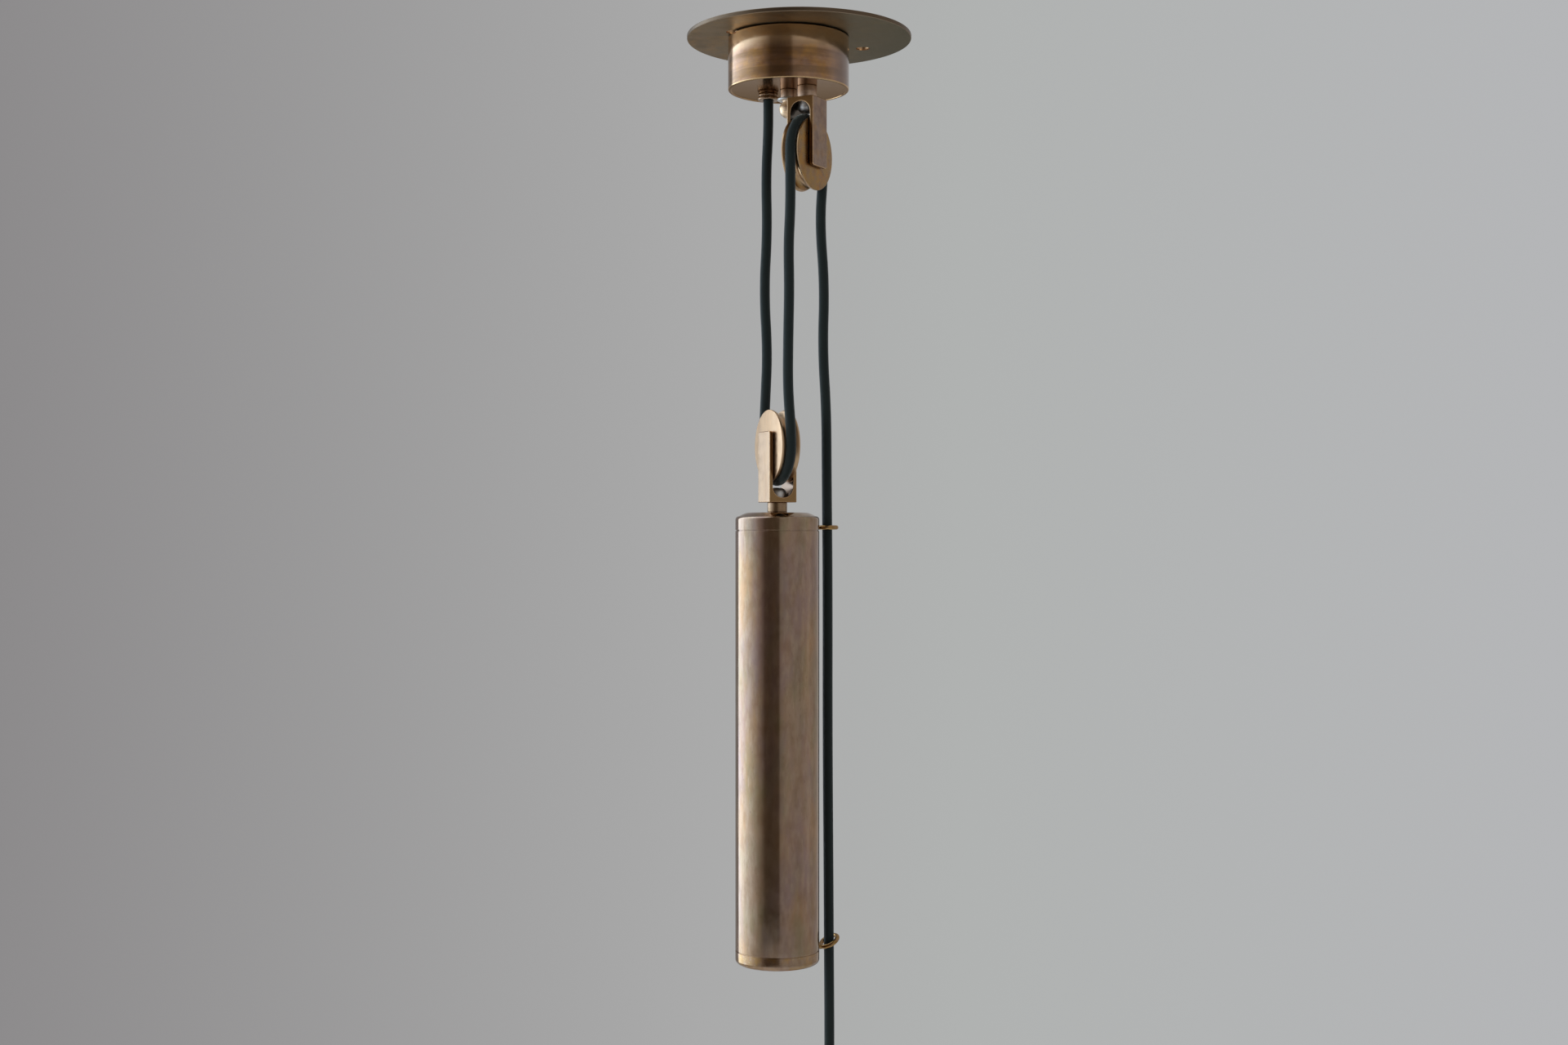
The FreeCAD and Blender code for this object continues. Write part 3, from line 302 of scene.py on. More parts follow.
def metal(name, base, patches, smooth, dull, haze_mm=6):
    """A metal of one colour with soft patches of others. Its roughness wanders between smooth and dull."""
    material, tree, shader, place = finish(name)
    body = colour(base)
    for number, patch in enumerate(patches, 1):
        spots = soft_spots(tree, place, patch.size_mm, patch.stretch, patch_shift * number)
        body = laid_over(tree, body, colour(patch.code), spots, patch_starts, patch_full, patch.share)
    haze = soft_spots(tree, place, haze_mm, shift=haze_shift)
    wander = add(tree, "ShaderNodeMapRange", {
        "Value": haze, "From Min": 0.35, "From Max": 0.65, "To Min": smooth, "To Max": dull})
    feed(tree, shader, {"Base Color": body, "Roughness": wander, "Metallic": 1.0})
    return material, tree, shader, place, body


# %% [markdown]
# ### Aged drawn brass
#
# The counterweight is a drawn tube, polished once and gone brown. Patina lies on it in soft clouds, and
# handling left fine upright scratches and dark specks. Its foot has kept some gilt, and is worn bright.
# Each layer is noise with its own size and stretch. A picture of scratches could do it too, but it would
# blur close up and show a seam round the tube.

# %% Aged drawn brass, on the counterweight
foot_top, foot_full = -547 * mm, -548 * mm


def aged_brass():
    material, tree, shader, place, body = metal("aged_drawn_brass", "#a68a72", (
        Patch("#b08a66", 30, (1, 1, 0.5), 0.8),
        Patch("#94896a", 14, (1.2, 1.2, 0.5), 0.6),
        Patch("#9c8384", 19, (1.3, 1.3, 0.35), 0.6),
        Patch("#8c6e54", 6, (1, 1, 0.6), 0.4),
        Patch("#b89f88", 3, (1, 1, 0.3), 0.4),
    ), smooth=0.085, dull=0.15, haze_mm=12)
    scratches = soft_spots(tree, place, 0.42, (1, 1, 0.035), turn=(0.08, 0.05, 0), detail=2)
    body = laid_over(tree, body, colour("#c9b193"), scratches, 0.69, 0.75, 0.45)
    specks = soft_spots(tree, place, 0.7, (1, 1, 0.3), shift=0.9, detail=2)
    body = laid_over(tree, body, colour("#6e5b48"), specks, 0.68, 0.76, 0.6)
    part = add(tree, "ShaderNodeSeparateXYZ", {"Vector": place}).outputs
    foot = add(tree, "ShaderNodeMapRange", {"Value": part["Z"], "From Min": foot_top, "From Max": foot_full})
    gilt = soft_spots(tree, place, 7, shift=0.5)
    body = laid_over(tree, body, colour("#b08a54"), gilt, 0.46, 0.6, 0.7, where=foot)
    worn = soft_spots(tree, place, 0.9, (1, 1, 1.6), shift=0.8, detail=2)
    body = laid_over(tree, body, colour("#e0cba8"), worn, 0.66, 0.7, 0.8, where=foot)
    feed(tree, shader, {"Base Color": body})
    raise_pattern(tree, shader, scratches, 0.05, 0.02)
    return material


aged_drawn_brass = aged_brass()
print(aged_drawn_brass.name, "on the counterweight")

# %% [markdown]
# ### Satin plate
#
# The ceiling plate is a spun disc, browned and rubbed dull. Its right side is painted darker as shade, its
# turned edge wall is painted darker as shade, and the rounded arris below it is painted lighter as a
# highlight.
# A specular tint keeps the level face from shining at a low angle.

# %% Satin brass, on the ceiling plate
plate_shade_reach = 60 * mm
plate_glint = (0.67, 0.64, 0.63, 1)
plate_shaded_side_glint = (0.43, 0.44, 0.44, 1)


def satin_plate():
    material, tree, shader, place, body = metal("satin_plate_brass", "#a58e70", (
        Patch("#816c50", 20, (1, 1, 1), 0.7),
        Patch("#c39a66", 12, (1, 1, 1), 0.6),
        Patch("#8a7c68", 4, (1, 1, 1), 0.4),
    ), smooth=0.36, dull=0.44, haze_mm=12)
    part = add(tree, "ShaderNodeSeparateXYZ", {"Vector": place}).outputs
    # Painted shade: the plate's right side is painted darker.
    body = laid_over(tree, body, colour("#8a7f6a"), part["X"], -plate_shade_reach, plate_shade_reach)
    # Painted highlight: every face but the level underside, the rounded arris among them, is painted
    # lighter.
    normal = add(tree, "ShaderNodeTexCoord").outputs["Normal"]
    facing = add(tree, "ShaderNodeSeparateXYZ", {"Vector": normal}).outputs
    body = laid_over(tree, body, colour("#d6b898"), facing["Z"], -0.97, -0.8)
    # Painted shade: the plate's edge wall is painted darker, over that lighter paint.
    wall = upright(tree)
    body = laid_over(tree, body, colour("#6e5c4a"), wall, 0, 1)
    # Painted shade on the reflection: the specular tint is lower on the plate's right side.
    glint = laid_over(tree, plate_glint, plate_shaded_side_glint, part["X"], -plate_shade_reach, plate_shade_reach)
    glint = laid_over(tree, glint, white, wall, 0, 1)
    feed(tree, shader, {"Base Color": body, "Specular Tint": glint})
    brushed = soft_spots(tree, place, 0.35, (1, 1, 0.1), detail=2)
    raise_pattern(tree, shader, brushed, 0.12, 0.01)
    return material


plate_brass = satin_plate()
print(plate_brass.name, "on the ceiling plate")

# %% [markdown]
# ### Spun cup
#
# Sheet brass spun on a lathe keeps level rings, and noise that is squeezed upwards and drawn out sideways
# looks just like them. The cup has browner belts, a greyer right side, painted light on its upper part, a
# polished floor, and a painted highlight on the bead at its rim.

# %% Spun brass, on the wiring cup
cup_rim_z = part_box("canopy_cup")[0].z
bead_highlight_starts, bead_highlight_full = 1.0 * mm, 0.7 * mm
grey_side_starts, grey_side_full = 14 * mm, 26 * mm
top_painted_light_starts, top_painted_light_full = -17 * mm, -9 * mm
cup_glint = (0.84, 0.71, 0.62, 1)


def spun_brass():
    material, tree, shader, place, body = metal("spun_cup_brass", "#ac866a", (
        Patch("#855c3a", 12, (1, 1, 1.5), 0.8),
        Patch("#c08c48", 15, (1, 1, 1.2), 0.75),
        Patch("#8c7268", 10, (1, 1, 0.8), 0.5),
    ), smooth=0.1, dull=0.18)
    part = add(tree, "ShaderNodeSeparateXYZ", {"Vector": place}).outputs
    belts = soft_spots(tree, place, 5, (0.06, 0.06, 1), shift=0.2, detail=3)
    body = laid_over(tree, body, colour("#7c5f41"), belts, 0.45, 0.6, 0.55)
    rings = soft_spots(tree, place, 0.7, (0.02, 0.02, 1), detail=3, rough=0.7)
    body = laid_over(tree, body, colour("#c29a66"), rings, 0.56, 0.7, 0.35)
    body = laid_over(tree, body, colour("#93827c"), part["X"], grey_side_starts, grey_side_full, 0.8)
    # Painted light: the cup's upper part is painted lighter.
    body = laid_over(tree, body, colour("#e6c29a"), part["Z"], top_painted_light_starts, top_painted_light_full, 0.9)
    wall = upright(tree)
    body = laid_over(tree, body, colour("#8a7252"), wall, 1, 0)
    # Painted highlight: a thin band at the foot of the wall, on the bead, is painted lighter.
    body = laid_over(tree, body, colour("#d3ad80"), part["Z"],
                     cup_rim_z + bead_highlight_starts, cup_rim_z + bead_highlight_full, where=wall)
    glint = laid_over(tree, cup_glint, white, wall, 0, 1)
    feed(tree, shader, {"Base Color": body, "Specular Tint": glint})
    raise_pattern(tree, shader, rings, 0.16, 0.012)
    return material


spun_cup_brass = spun_brass()
print(spun_cup_brass.name, "on the cup")

# %% [markdown]
# ### Milled brass
#
# Forks are milled from bar and browned. Faces square to the axle are ground, the others are sawn and redder,
# and the slot's inner walls are painted darker as shade. The wheels come from the same bar.

# %% Milled brass, on the forks and pulleys
slot_half = 6.5 * mm
slot_shade_starts, slot_shade_full = slot_half + 0.25 * mm, slot_half + 0.05 * mm


def along_axle(tree, vector, turn):
    """How far a vector reaches along an axle, on either side."""
    aim = (math.cos(math.radians(turn)), -math.sin(math.radians(turn)), 0)
    reach = add(tree, "ShaderNodeVectorMath", {0: vector, 1: aim}, operation="DOT_PRODUCT").outputs["Value"]
    return add(tree, "ShaderNodeMath", {0: reach}, operation="ABSOLUTE")


def milled_brass(name, base, patches, sawn, axle_turn, smooth=0.16, dull=0.26):
    """Brass of one colour on its ground faces and another on its sawn ones."""
    material, tree, shader, place, body = metal(name, base, patches, smooth, dull)
    square_to_axle = along_axle(tree, add(tree, "ShaderNodeTexCoord").outputs["Normal"], axle_turn)
    body = laid_over(tree, body, colour(sawn), square_to_axle, 0.8, 0.3)
    specks = soft_spots(tree, place, 0.5, shift=0.7, detail=2)
    body = laid_over(tree, body, colour("#6a523c"), specks, 0.66, 0.76, 0.5)
    feed(tree, shader, {"Base Color": body})
    lines = soft_spots(tree, place, 0.4, (1, 1, 0.06), detail=2)
    raise_pattern(tree, shader, lines, 0.10, 0.01)
    return material, tree, shader, place, body


def fork_brass(name, base, patches, sawn, slot_shade, axle_turn, axle_place):
    """A fork's finish: milled brass, with painted shade on the slot's inner walls."""
    material, tree, shader, place, body = milled_brass(name, base, patches, sawn, axle_turn)
    from_axle = add(tree, "ShaderNodeVectorMath", {0: place, 1: axle_place}, operation="SUBTRACT")
    square_to_axle = along_axle(tree, add(tree, "ShaderNodeTexCoord").outputs["Normal"], axle_turn)
    ground = add(tree, "ShaderNodeMapRange", {"Value": square_to_axle, "From Min": 0.2, "From Max": 0.5})
    distance = along_axle(tree, from_axle, axle_turn)
    # Painted shade: the slot's inner walls are painted darker.
    body = laid_over(tree, body, colour(slot_shade), distance, slot_shade_starts, slot_shade_full, where=ground)
    feed(tree, shader, {"Base Color": body})
    return material


upper_azimuth = 28.7
lower_azimuth = -23.0
upper_axle = Vector((4.5656, -16.8113, -74.4)) * mm
lower_axle = Vector((-13.1, -14.0, -247.5)) * mm
upper_patches = (
    Patch("#86685a", 6, (1, 1, 0.8), 0.7), Patch("#b08552", 8, (1, 1, 1), 0.5),
    Patch("#7b685c", 3, (1, 1, 1), 0.4),
)
lower_patches = (Patch("#b48e6c", 9, (1, 1, 0.4), 0.5), Patch("#cfa87e", 5, (1, 1, 0.5), 0.4))
wheel_patches = (
    Patch("#8f6a54", 6, (1, 1, 1), 0.6), Patch("#b5803a", 8, (1, 1, 1), 0.9),
    Patch("#8e7a70", 4, (1, 1, 1), 0.4),
)
upper_fork_brass = fork_brass("milled_brass_upper", "#a18674", upper_patches, "#70502f", "#6b6259",
                              upper_azimuth, upper_axle)
lower_fork_brass = fork_brass("milled_brass_lower", "#c8a686", lower_patches, "#9a7850", "#a88d78",
                              lower_azimuth, lower_axle)
upper_wheel_brass = milled_brass("turned_brass_upper", "#a9844f", wheel_patches, "#c49f78", upper_azimuth,
                                 smooth=0.24, dull=0.34)[0]
lower_wheel_brass = milled_brass("turned_brass_lower", "#c09e7c", lower_patches, "#c9a680", lower_azimuth,
                                 smooth=0.3, dull=0.4)[0]
print("forks and wheels have", upper_fork_brass.name, "and", lower_fork_brass.name)

# %% [markdown]
# ### Small turned and plated pieces
#
# Brass off the lathe keeps fine level tool lines, with a little brown left in them. They are finer on the
# real pieces, and are drawn as coarse as they need to be to show. Screws and nuts are steel under bright
# zinc, pale grey with a faint crystal bloom.

# %% Turned brass, on spacers, collars and lampholder
def turned_brass(name, base, patch, smooth, dull):
    material, tree, shader, place, body = metal(name, base, (
        Patch(patch, 5, (1, 1, 1), 0.6),
        Patch("#a98a7c", 4, (1, 1, 2), 0.4),
    ), smooth, dull, haze_mm=2)
    lines = soft_spots(tree, place, 0.3, (0.03, 0.03, 1), detail=2)
    body = laid_over(tree, body, colour("#7a5c40"), lines, 0.55, 0.7, 0.35)
    feed(tree, shader, {"Base Color": body})
    raise_pattern(tree, shader, lines, 0.12, 0.012)
    return material


bronze = turned_brass("turned_brass", "#d9bda6", "#b8967a", smooth=0.3, dull=0.42)
gland_brass = turned_brass("aged_gland_brass", "#a3876a", "#8d7350", smooth=0.2, dull=0.3)
ball_brass = turned_brass("satin_ball_brass", "#ffdfba", "#f0b468", smooth=0.4, dull=0.5)
bright_brass = turned_brass("polished_brass", "#a88450", "#8f6a38", smooth=0.10, dull=0.16)
# Lighter brass for the plate's hole walls, as a painted highlight, and for the forks' broken edges, as
# rubbed wear and a painted highlight.
edge_wear_and_highlight = turned_brass("worn_and_highlit_edges", "#d2ab82", "#bd9468", smooth=0.14, dull=0.22)

# %% Zinc-plated steel, on the screws and nuts
steel = metal("zinc_plated_steel", "#e2deda", (Patch("#c6c0b8", 1.5, (1, 1, 1), 0.7),),
              smooth=0.4, dull=0.5, haze_mm=1.5)[0]
print(steel.name, "on the screws and nuts")

# %% [markdown]
# ### Matt finishes of the hidden pieces
#
# A moulded, fired or turned surface is two near colours in fine clouds, with a slight grain. One function
# makes them all, because only the colours, the grain and the roughness differ.

# %% Matt finishes
def matt(name, code, other, size_mm, roughness, grain_mm=0.02):
    material, tree, shader, place = finish(name)
    spots = soft_spots(tree, place, size_mm)
    body = laid_over(tree, colour(code), colour(other), spots, 0.35, 0.65)
    wander = add(tree, "ShaderNodeMapRange", {
        "Value": spots, "From Min": 0.3, "From Max": 0.7, "To Min": roughness, "To Max": roughness + 0.12})
    feed(tree, shader, {"Base Color": body, "Roughness": wander})
    raise_pattern(tree, shader, spots, 0.3, grain_mm)
    return material


black_rubber = matt("moulded_rubber", "#1b1b1c", "#242426", size_mm=0.6, roughness=0.65)
block_plastic = matt("moulded_polyamide", "#dcdad2", "#cfcdc4", size_mm=0.8, roughness=0.45)
ceramic = matt("glazed_steatite", "#e8e5dc", "#dedacf", size_mm=6.0, roughness=0.08)
insulation = matt("extruded_insulation", "#4a5a86", "#42517b", size_mm=1.2, roughness=0.4)
iron = matt("turned_iron_bar", "#4a4946", "#3c3b39", size_mm=1.0, roughness=0.5, grain_mm=0.05)
iron.node_tree.nodes["Principled BSDF"].inputs["Metallic"].default_value = 1.0
print(len(bpy.data.materials), "materials so far")

# %% [markdown]
# ## The braided cord
#
# The cord is one length of cable in a braided cover. Its route is a list of given points, the
# same ones as in the frame, and a quadratic NURBS curve runs smoothly between them. Round a pulley the
# points are the corners of an eight-sided figure that just encloses the cord's half ring, and the curve
# stays within a tenth of a millimetre of that ring. Geometry Nodes turn the curve into a tube and raise
# the braid: two families of strands cross, and a bump stands wherever one lies over the other.

# %% The cord's routes
cord_diameter = 6.1 * mm
cord_ring_radius = 20.8 * mm
ring_corner = 45.0
ring_corner_count = 6
tail_top_z = -17.5 * mm

fixed_waver = (
    (-18.6, 4.5, -57), (-20.0, 4.7, -84), (-19.2, 4.8, -117), (-21.2, 5.0, -153), (-19.1, 5.1, -190),
    (-20.3, 5.1, -217),
)
middle_waver = (
    (-6.9, -33.4, -214), (-6.6, -33.7, -184), (-6.0, -34.1, -156), (-6.5, -34.4, -131), (-5.3, -34.6, -108),
)
lamp_waver = (
    (12.5, 1.8, -112), (15.4, 2.1, -150), (14.2, 2.4, -188), (16.5, 2.7, -226), (16.7, 2.8, -264),
    (17.3, 2.8, -330), (17.2, 2.9, -418), (17.8, 3.1, -505), (18.1, 3.3, -558), (18.3, 2.9, -592),
)
gland_exit = Vector((-18.6, 4.5, -37.8)) * mm
grip_exit = Vector((18.3, 2.9, -616)) * mm
grip_depth = 24 * mm


def metres(points):
    return [Vector(p) * mm for p in points]


def half_turn(centre, azimuth, side):
    """Corners of the eight-sided figure round a pulley, from its front run to its back run."""
    turn = math.radians(azimuth)
    front = Vector((-math.sin(turn), -math.cos(turn), 0))
    reach = cord_ring_radius / math.cos(math.radians(ring_corner / 2))
    corners = []
    for step in range(ring_corner_count):
        angle = math.radians(ring_corner * (step - 0.5))
        rise = Vector((0, 0, side * reach * math.sin(angle)))
        corners.append(centre + front * reach * math.cos(angle) + rise)
    return corners


upper_turn = half_turn(upper_axle, upper_azimuth, 1)
lower_turn = half_turn(lower_axle, lower_azimuth, -1)
pulley_top = upper_axle + Vector((0, 0, cord_ring_radius))
tail_top = Vector((gland_exit.x, gland_exit.y, tail_top_z))
pulley_route = ([tail_top, gland_exit] + metres(fixed_waver) + lower_turn[::-1] + metres(middle_waver)
                + upper_turn[:3] + [pulley_top])
lamp_route = ([pulley_top] + upper_turn[3:] + metres(lamp_waver)
              + [grip_exit, grip_exit - Vector((0, 0, grip_depth))])
print(len(pulley_route), "and", len(lamp_route), "route points")


# %% The cord's smooth centreline
def centreline(name, route):
    """The points of a quadratic NURBS curve through a route."""
    data = bpy.data.curves.new(name, "CURVE")
    data.dimensions = "3D"
    data.resolution_u = 16
    spline = data.splines.new("NURBS")
    spline.points.add(len(route) - 1)
    for point, place in zip(spline.points, route):
        point.co = (*place, 1.0)
    spline.order_u = 3
    spline.use_endpoint_u = True
    curve = shown(name, data)
    mesh = baked(curve)
    bpy.data.objects.remove(curve)
    return mesh


# %% Geometry Nodes helpers
def geometry_tree(name, inputs):
    """A tree that takes and gives geometry, with one named input for each size."""
    tree = bpy.data.node_groups.new(name, "GeometryNodeTree")
    tree.interface.new_socket("Geometry", in_out="INPUT", socket_type="NodeSocketGeometry")
    for label, kind in inputs.items():
        tree.interface.new_socket(label, in_out="INPUT", socket_type="NodeSocket" + kind)
    tree.interface.new_socket("Geometry", in_out="OUTPUT", socket_type="NodeSocketGeometry")
    return tree, add(tree, "NodeGroupInput").outputs


def close_tree(tree, geometry, material):
    """Ends a tree: instances become real, and the material is set."""
    real = add(tree, "GeometryNodeRealizeInstances", {"Geometry": geometry})
    dressed = add(tree, "GeometryNodeSetMaterial", {"Geometry": real, "Material": material})
    add(tree, "NodeGroupOutput", {"Geometry": dressed})


def grow(name, mesh, tree, sizes):
    """Runs a tree on a mesh and returns the result as a plain mesh object."""
    carrier = shown(name + "_carrier", mesh)
    modifier = carrier.modifiers.new(name, "NODES")
    modifier.node_group = tree
    for item in tree.interface.items_tree:
        if item.in_out == "INPUT" and item.name in sizes:
            modifier[item.identifier] = sizes[item.name]
    result = baked(carrier)
    bpy.data.objects.remove(carrier)
    return shown(name, result)


# %% [markdown]
# ### The textile cover
#
# Dull rayon braid is near black, with blue-green yarns, and each yarn is a fine pale line where it
# catches the light. The same two families of strands that raise the mesh also draw the yarns in the
# finish.

# %% The two families of strands
strands_each_way = 18
strand_pitch = 1.1 * mm


def strand_waves(tree, turn, along):
    """How far a place is across the strands that lean left and right, in strands, and how high the braid
    stands there, from 0 between strands to 1."""
    strands_per_radian = strands_each_way / (2 * math.pi)
    round_share = add(tree, "ShaderNodeMath", {0: turn, 1: strands_per_radian}, operation="MULTIPLY")
    length_share = add(tree, "ShaderNodeMath", {0: along, 1: strand_pitch}, operation="DIVIDE")
    left = add(tree, "ShaderNodeMath", {0: round_share, 1: length_share}, operation="ADD")
    right = add(tree, "ShaderNodeMath", {0: round_share, 1: length_share}, operation="SUBTRACT")
    ridges = []
    for family in (left, right):
        angle = add(tree, "ShaderNodeMath", {0: family, 1: math.pi}, operation="MULTIPLY")
        wave = add(tree, "ShaderNodeMath", {0: angle}, operation="SINE")
        ridges.append(add(tree, "ShaderNodeMath", {0: wave}, operation="ABSOLUTE"))
    crest = add(tree, "ShaderNodeMath", {0: ridges[0], 1: ridges[1]}, operation="MULTIPLY")
    return left, right, crest


# %% The textile finish
yarns_in_strand = 4
yarn_lean = 0.2
yarn_height = 0.15
braid_relief_mm = 0.14


def textile():
    material, tree, shader, place = finish("braided_textile")
    weave = add(tree, "ShaderNodeAttribute", attribute_name="weave").outputs["Vector"]
    part = add(tree, "ShaderNodeSeparateXYZ", {"Vector": weave}).outputs
    turn = add(tree, "ShaderNodeMath", {0: part["Y"], 1: part["X"]}, operation="ARCTAN2")
    left, right, crest = strand_waves(tree, turn, part["Z"])
    lean = add(tree, "ShaderNodeMath", {0: right, 1: yarn_lean}, operation="MULTIPLY")
    across = add(tree, "ShaderNodeMath", {0: left, 1: lean}, operation="ADD")
    angle = add(tree, "ShaderNodeMath", {0: across, 1: yarns_in_strand * 2 * math.pi}, operation="MULTIPLY")
    yarns = add(tree, "ShaderNodeMath", {0: angle}, operation="SINE")
    fuzz = soft_spots(tree, place, 0.9, detail=3)
    # Painted shade: the gaps between strands are painted darker than the strands' crests.
    body = laid_over(tree, colour("#121716"), colour("#212827"), crest, 0, 1)
    body = laid_over(tree, body, colour("#2c3638"), fuzz, 0.62, 0.8, 0.4)
    feed(tree, shader, {
        "Base Color": body, "Roughness": 0.5, "Specular IOR Level": 0.12,
        "Sheen Weight": 0.9, "Sheen Roughness": 0.28, "Sheen Tint": colour("#b4b8b4")})
    threads = add(tree, "ShaderNodeMath", {0: yarns, 1: yarn_height}, operation="MULTIPLY")
    height = add(tree, "ShaderNodeMath", {0: crest, 1: threads}, operation="ADD")
    raise_pattern(tree, shader, height, 0.8, braid_relief_mm)
    return material


braided_textile = textile()
print(braided_textile.name, "with", 2 * strands_each_way, "strands")


# %% The braid as a tree
rows_per_strand = 3
strand_relief = 0.07 * mm


def braid_tree():
    tree, sizes = geometry_tree("braided_cord", {"Radius": "Float", "Step": "Float", "Relief": "Float"})
    curve = add(tree, "GeometryNodeMeshToCurve", {"Mesh": sizes["Geometry"]})
    even = add(tree, "GeometryNodeResampleCurve", {"Curve": curve, "Length": sizes["Step"]}, mode="LENGTH")
    travelled = add(tree, "GeometryNodeSplineParameter").outputs["Length"]
    rail = add(tree, "GeometryNodeStoreNamedAttribute", {
        "Geometry": even, "Name": "along", "Value": travelled})
    circle = add(tree, "GeometryNodeCurvePrimitiveCircle", {
        "Resolution": rows_per_strand * strands_each_way, "Radius": sizes["Radius"]})
    here = add(tree, "GeometryNodeInputPosition")
    profile = add(tree, "GeometryNodeStoreNamedAttribute", {
        "Geometry": circle, "Name": "round", "Value": here}, data_type="FLOAT_VECTOR")
    tube = add(tree, "GeometryNodeCurveToMesh", {"Curve": rail, "Profile Curve": profile, "Fill Caps": True})
    along = add(tree, "GeometryNodeInputNamedAttribute", {"Name": "along"}).outputs["Attribute"]
    round_place = add(tree, "GeometryNodeInputNamedAttribute", {"Name": "round"}, data_type="FLOAT_VECTOR")
    part = add(tree, "ShaderNodeSeparateXYZ", {"Vector": round_place.outputs["Attribute"]}).outputs
    turn = add(tree, "ShaderNodeMath", {0: part["Y"], 1: part["X"]}, operation="ARCTAN2")
    crest = strand_waves(tree, turn, along)[2]
    below_crest = add(tree, "ShaderNodeMath", {0: crest, 1: 1.0}, operation="SUBTRACT")
    depth = add(tree, "ShaderNodeMath", {0: below_crest, 1: sizes["Relief"]}, operation="MULTIPLY")
    normal = add(tree, "GeometryNodeInputNormal").outputs["Normal"]
    push = add(tree, "ShaderNodeVectorMath", {"Vector": normal, "Scale": depth}, operation="SCALE")
    raised = add(tree, "GeometryNodeSetPosition", {"Geometry": tube, "Offset": push})
    packed = add(tree, "ShaderNodeCombineXYZ", {"X": part["X"], "Y": part["Y"], "Z": along})
    marked = add(tree, "GeometryNodeStoreNamedAttribute", {
        "Geometry": raised, "Name": "weave", "Value": packed}, data_type="FLOAT_VECTOR")
    smooth = add(tree, "GeometryNodeSetShadeSmooth", {"Geometry": marked})
    close_tree(tree, smooth, braided_textile)
    return tree


braid = braid_tree()
braid_sizes = {"Radius": cord_diameter / 2, "Step": strand_pitch / rows_per_strand, "Relief": strand_relief}


def make_cord(name, route, nodes):
    """One length of cord, grown round its route. The frame's cord pieces that it stands for are hidden."""
    path = centreline(name + "_line", route)
    piece = grow(name, path, braid, braid_sizes)
    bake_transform(piece)
    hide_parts(*nodes)
    return piece


pulley_nodes = ("cord_tail", "cord_fixed_run", "cord_lower_bend", "cord_middle_run", "cord_upper_bend")
lamp_nodes = ("cord_lamp_run", "cord_lamp_end")
make_cord("pulley_cord", pulley_route, pulley_nodes)
make_cord("lamp_cord", lamp_route, lamp_nodes)

# %% [markdown]
# ## Turned and spun pieces
#
# Most of this light comes off a lathe, so most of its pieces are an outline turned round an axis. The
# outline is a short list of corners, each with the radius that the maker leaves on it, because a broken
# edge is what catches the light on real metal. A Screw modifier could turn the outline too, but rings of
# points that are joined directly also close the poles. Diameters and heights are read from the frame.

# %% A lathe
Turned = namedtuple("Turned", "x y radius low high")
corner_steps = 5
sharp_angle = math.radians(35)
merge_reach = 1e-7
wide_segments, bell_segments, holder_segments, small_segments, cutter_segments = 256, 192, 128, 96, 64


def measure(node):
    """Centre, radius and heights of a turned node that stands upright."""
    low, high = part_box(node)
    return Turned((low.x + high.x) / 2, (low.y + high.y) / 2, (high.x - low.x) / 2, low.z, high.z)


def rounded(outline, closed):
    """Replaces each corner (radius, height, round) of an outline by a short arc."""
    points = []
    count = len(outline)
    for index, (r, z, soft) in enumerate(outline):
        corner = Vector((r, z))
        inner = closed or 0 < index < count - 1
        if not soft or not inner:
            points.append(corner)
            continue
        before = Vector(outline[index - 1][:2]) - corner
        after = Vector(outline[(index + 1) % count][:2]) - corner
        half = before.angle(after) / 2
        reach = soft / math.tan(half)
        first, last = corner + before.normalized() * reach, corner + after.normalized() * reach
        centre = corner + (before.normalized() + after.normalized()).normalized() * (soft / math.sin(half))
        for step in range(corner_steps + 1):
            share = step / corner_steps
            aim = ((first - centre) * (1 - share) + (last - centre) * share).normalized()
            points.append(centre + aim * soft)
    return points


def turned(name, outline, x=0.0, y=0.0, segments=160, closed=True, matrix=None):
    """Turns an outline about the vertical through x, y, or about the axis that a matrix gives."""
    points = rounded(outline, closed)
    shape = bmesh.new()
    rings = []
    for r, z in points:
        angles = [2 * math.pi * step / segments for step in range(segments)]
        rings.append([shape.verts.new((r * math.cos(a), r * math.sin(a), z)) for a in angles])
    pairs = list(zip(rings, rings[1:])) + ([(rings[-1], rings[0])] if closed else [])
    for lower, upper in pairs:
        for step in range(segments):
            after = (step + 1) % segments
            shape.faces.new((lower[step], lower[after], upper[after], upper[step]))
    bmesh.ops.remove_doubles(shape, verts=shape.verts, dist=merge_reach)
    bmesh.ops.recalc_face_normals(shape, faces=shape.faces)
    mesh = bpy.data.meshes.new(name)
    shape.to_mesh(mesh)
    shape.free()
    mesh.transform(matrix if matrix else Matrix.Translation((x, y, 0)))
    mesh.shade_smooth()
    mesh.set_sharp_from_angle(angle=sharp_angle)
    return shown(name, mesh)


def dress(piece, body, material, slot, *nodes):
    """Gives a piece its finish, where one is named, its body, and the frame's pieces that it stands for."""
    if material:
        piece.data.materials.clear()
        piece.data.materials.append(material)
    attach(piece, body)
    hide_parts(*nodes)
    print(piece.name, len(piece.data.polygons), "faces")
    return piece


# %% [markdown]
# ### Ceiling plate
#
# A thin spun disc with a softened edge, drilled for two ceiling screws and for the supply cable. The
# holes are cut with Boolean modifiers, because they don't lie on the lathe's axis.

# %% Ceiling plate
plate = measure("ceiling_plate")
cup = measure("canopy_cup")
grommet = measure("entry_grommet")
screw_hole_radius = 4.1 * mm
screw_circle_radius = 44 * mm
screw_angle = math.radians(27)
entry_hole_radius = 7.0 * mm
drill_reach = 5 * mm
plate_edge = 0.5 * mm


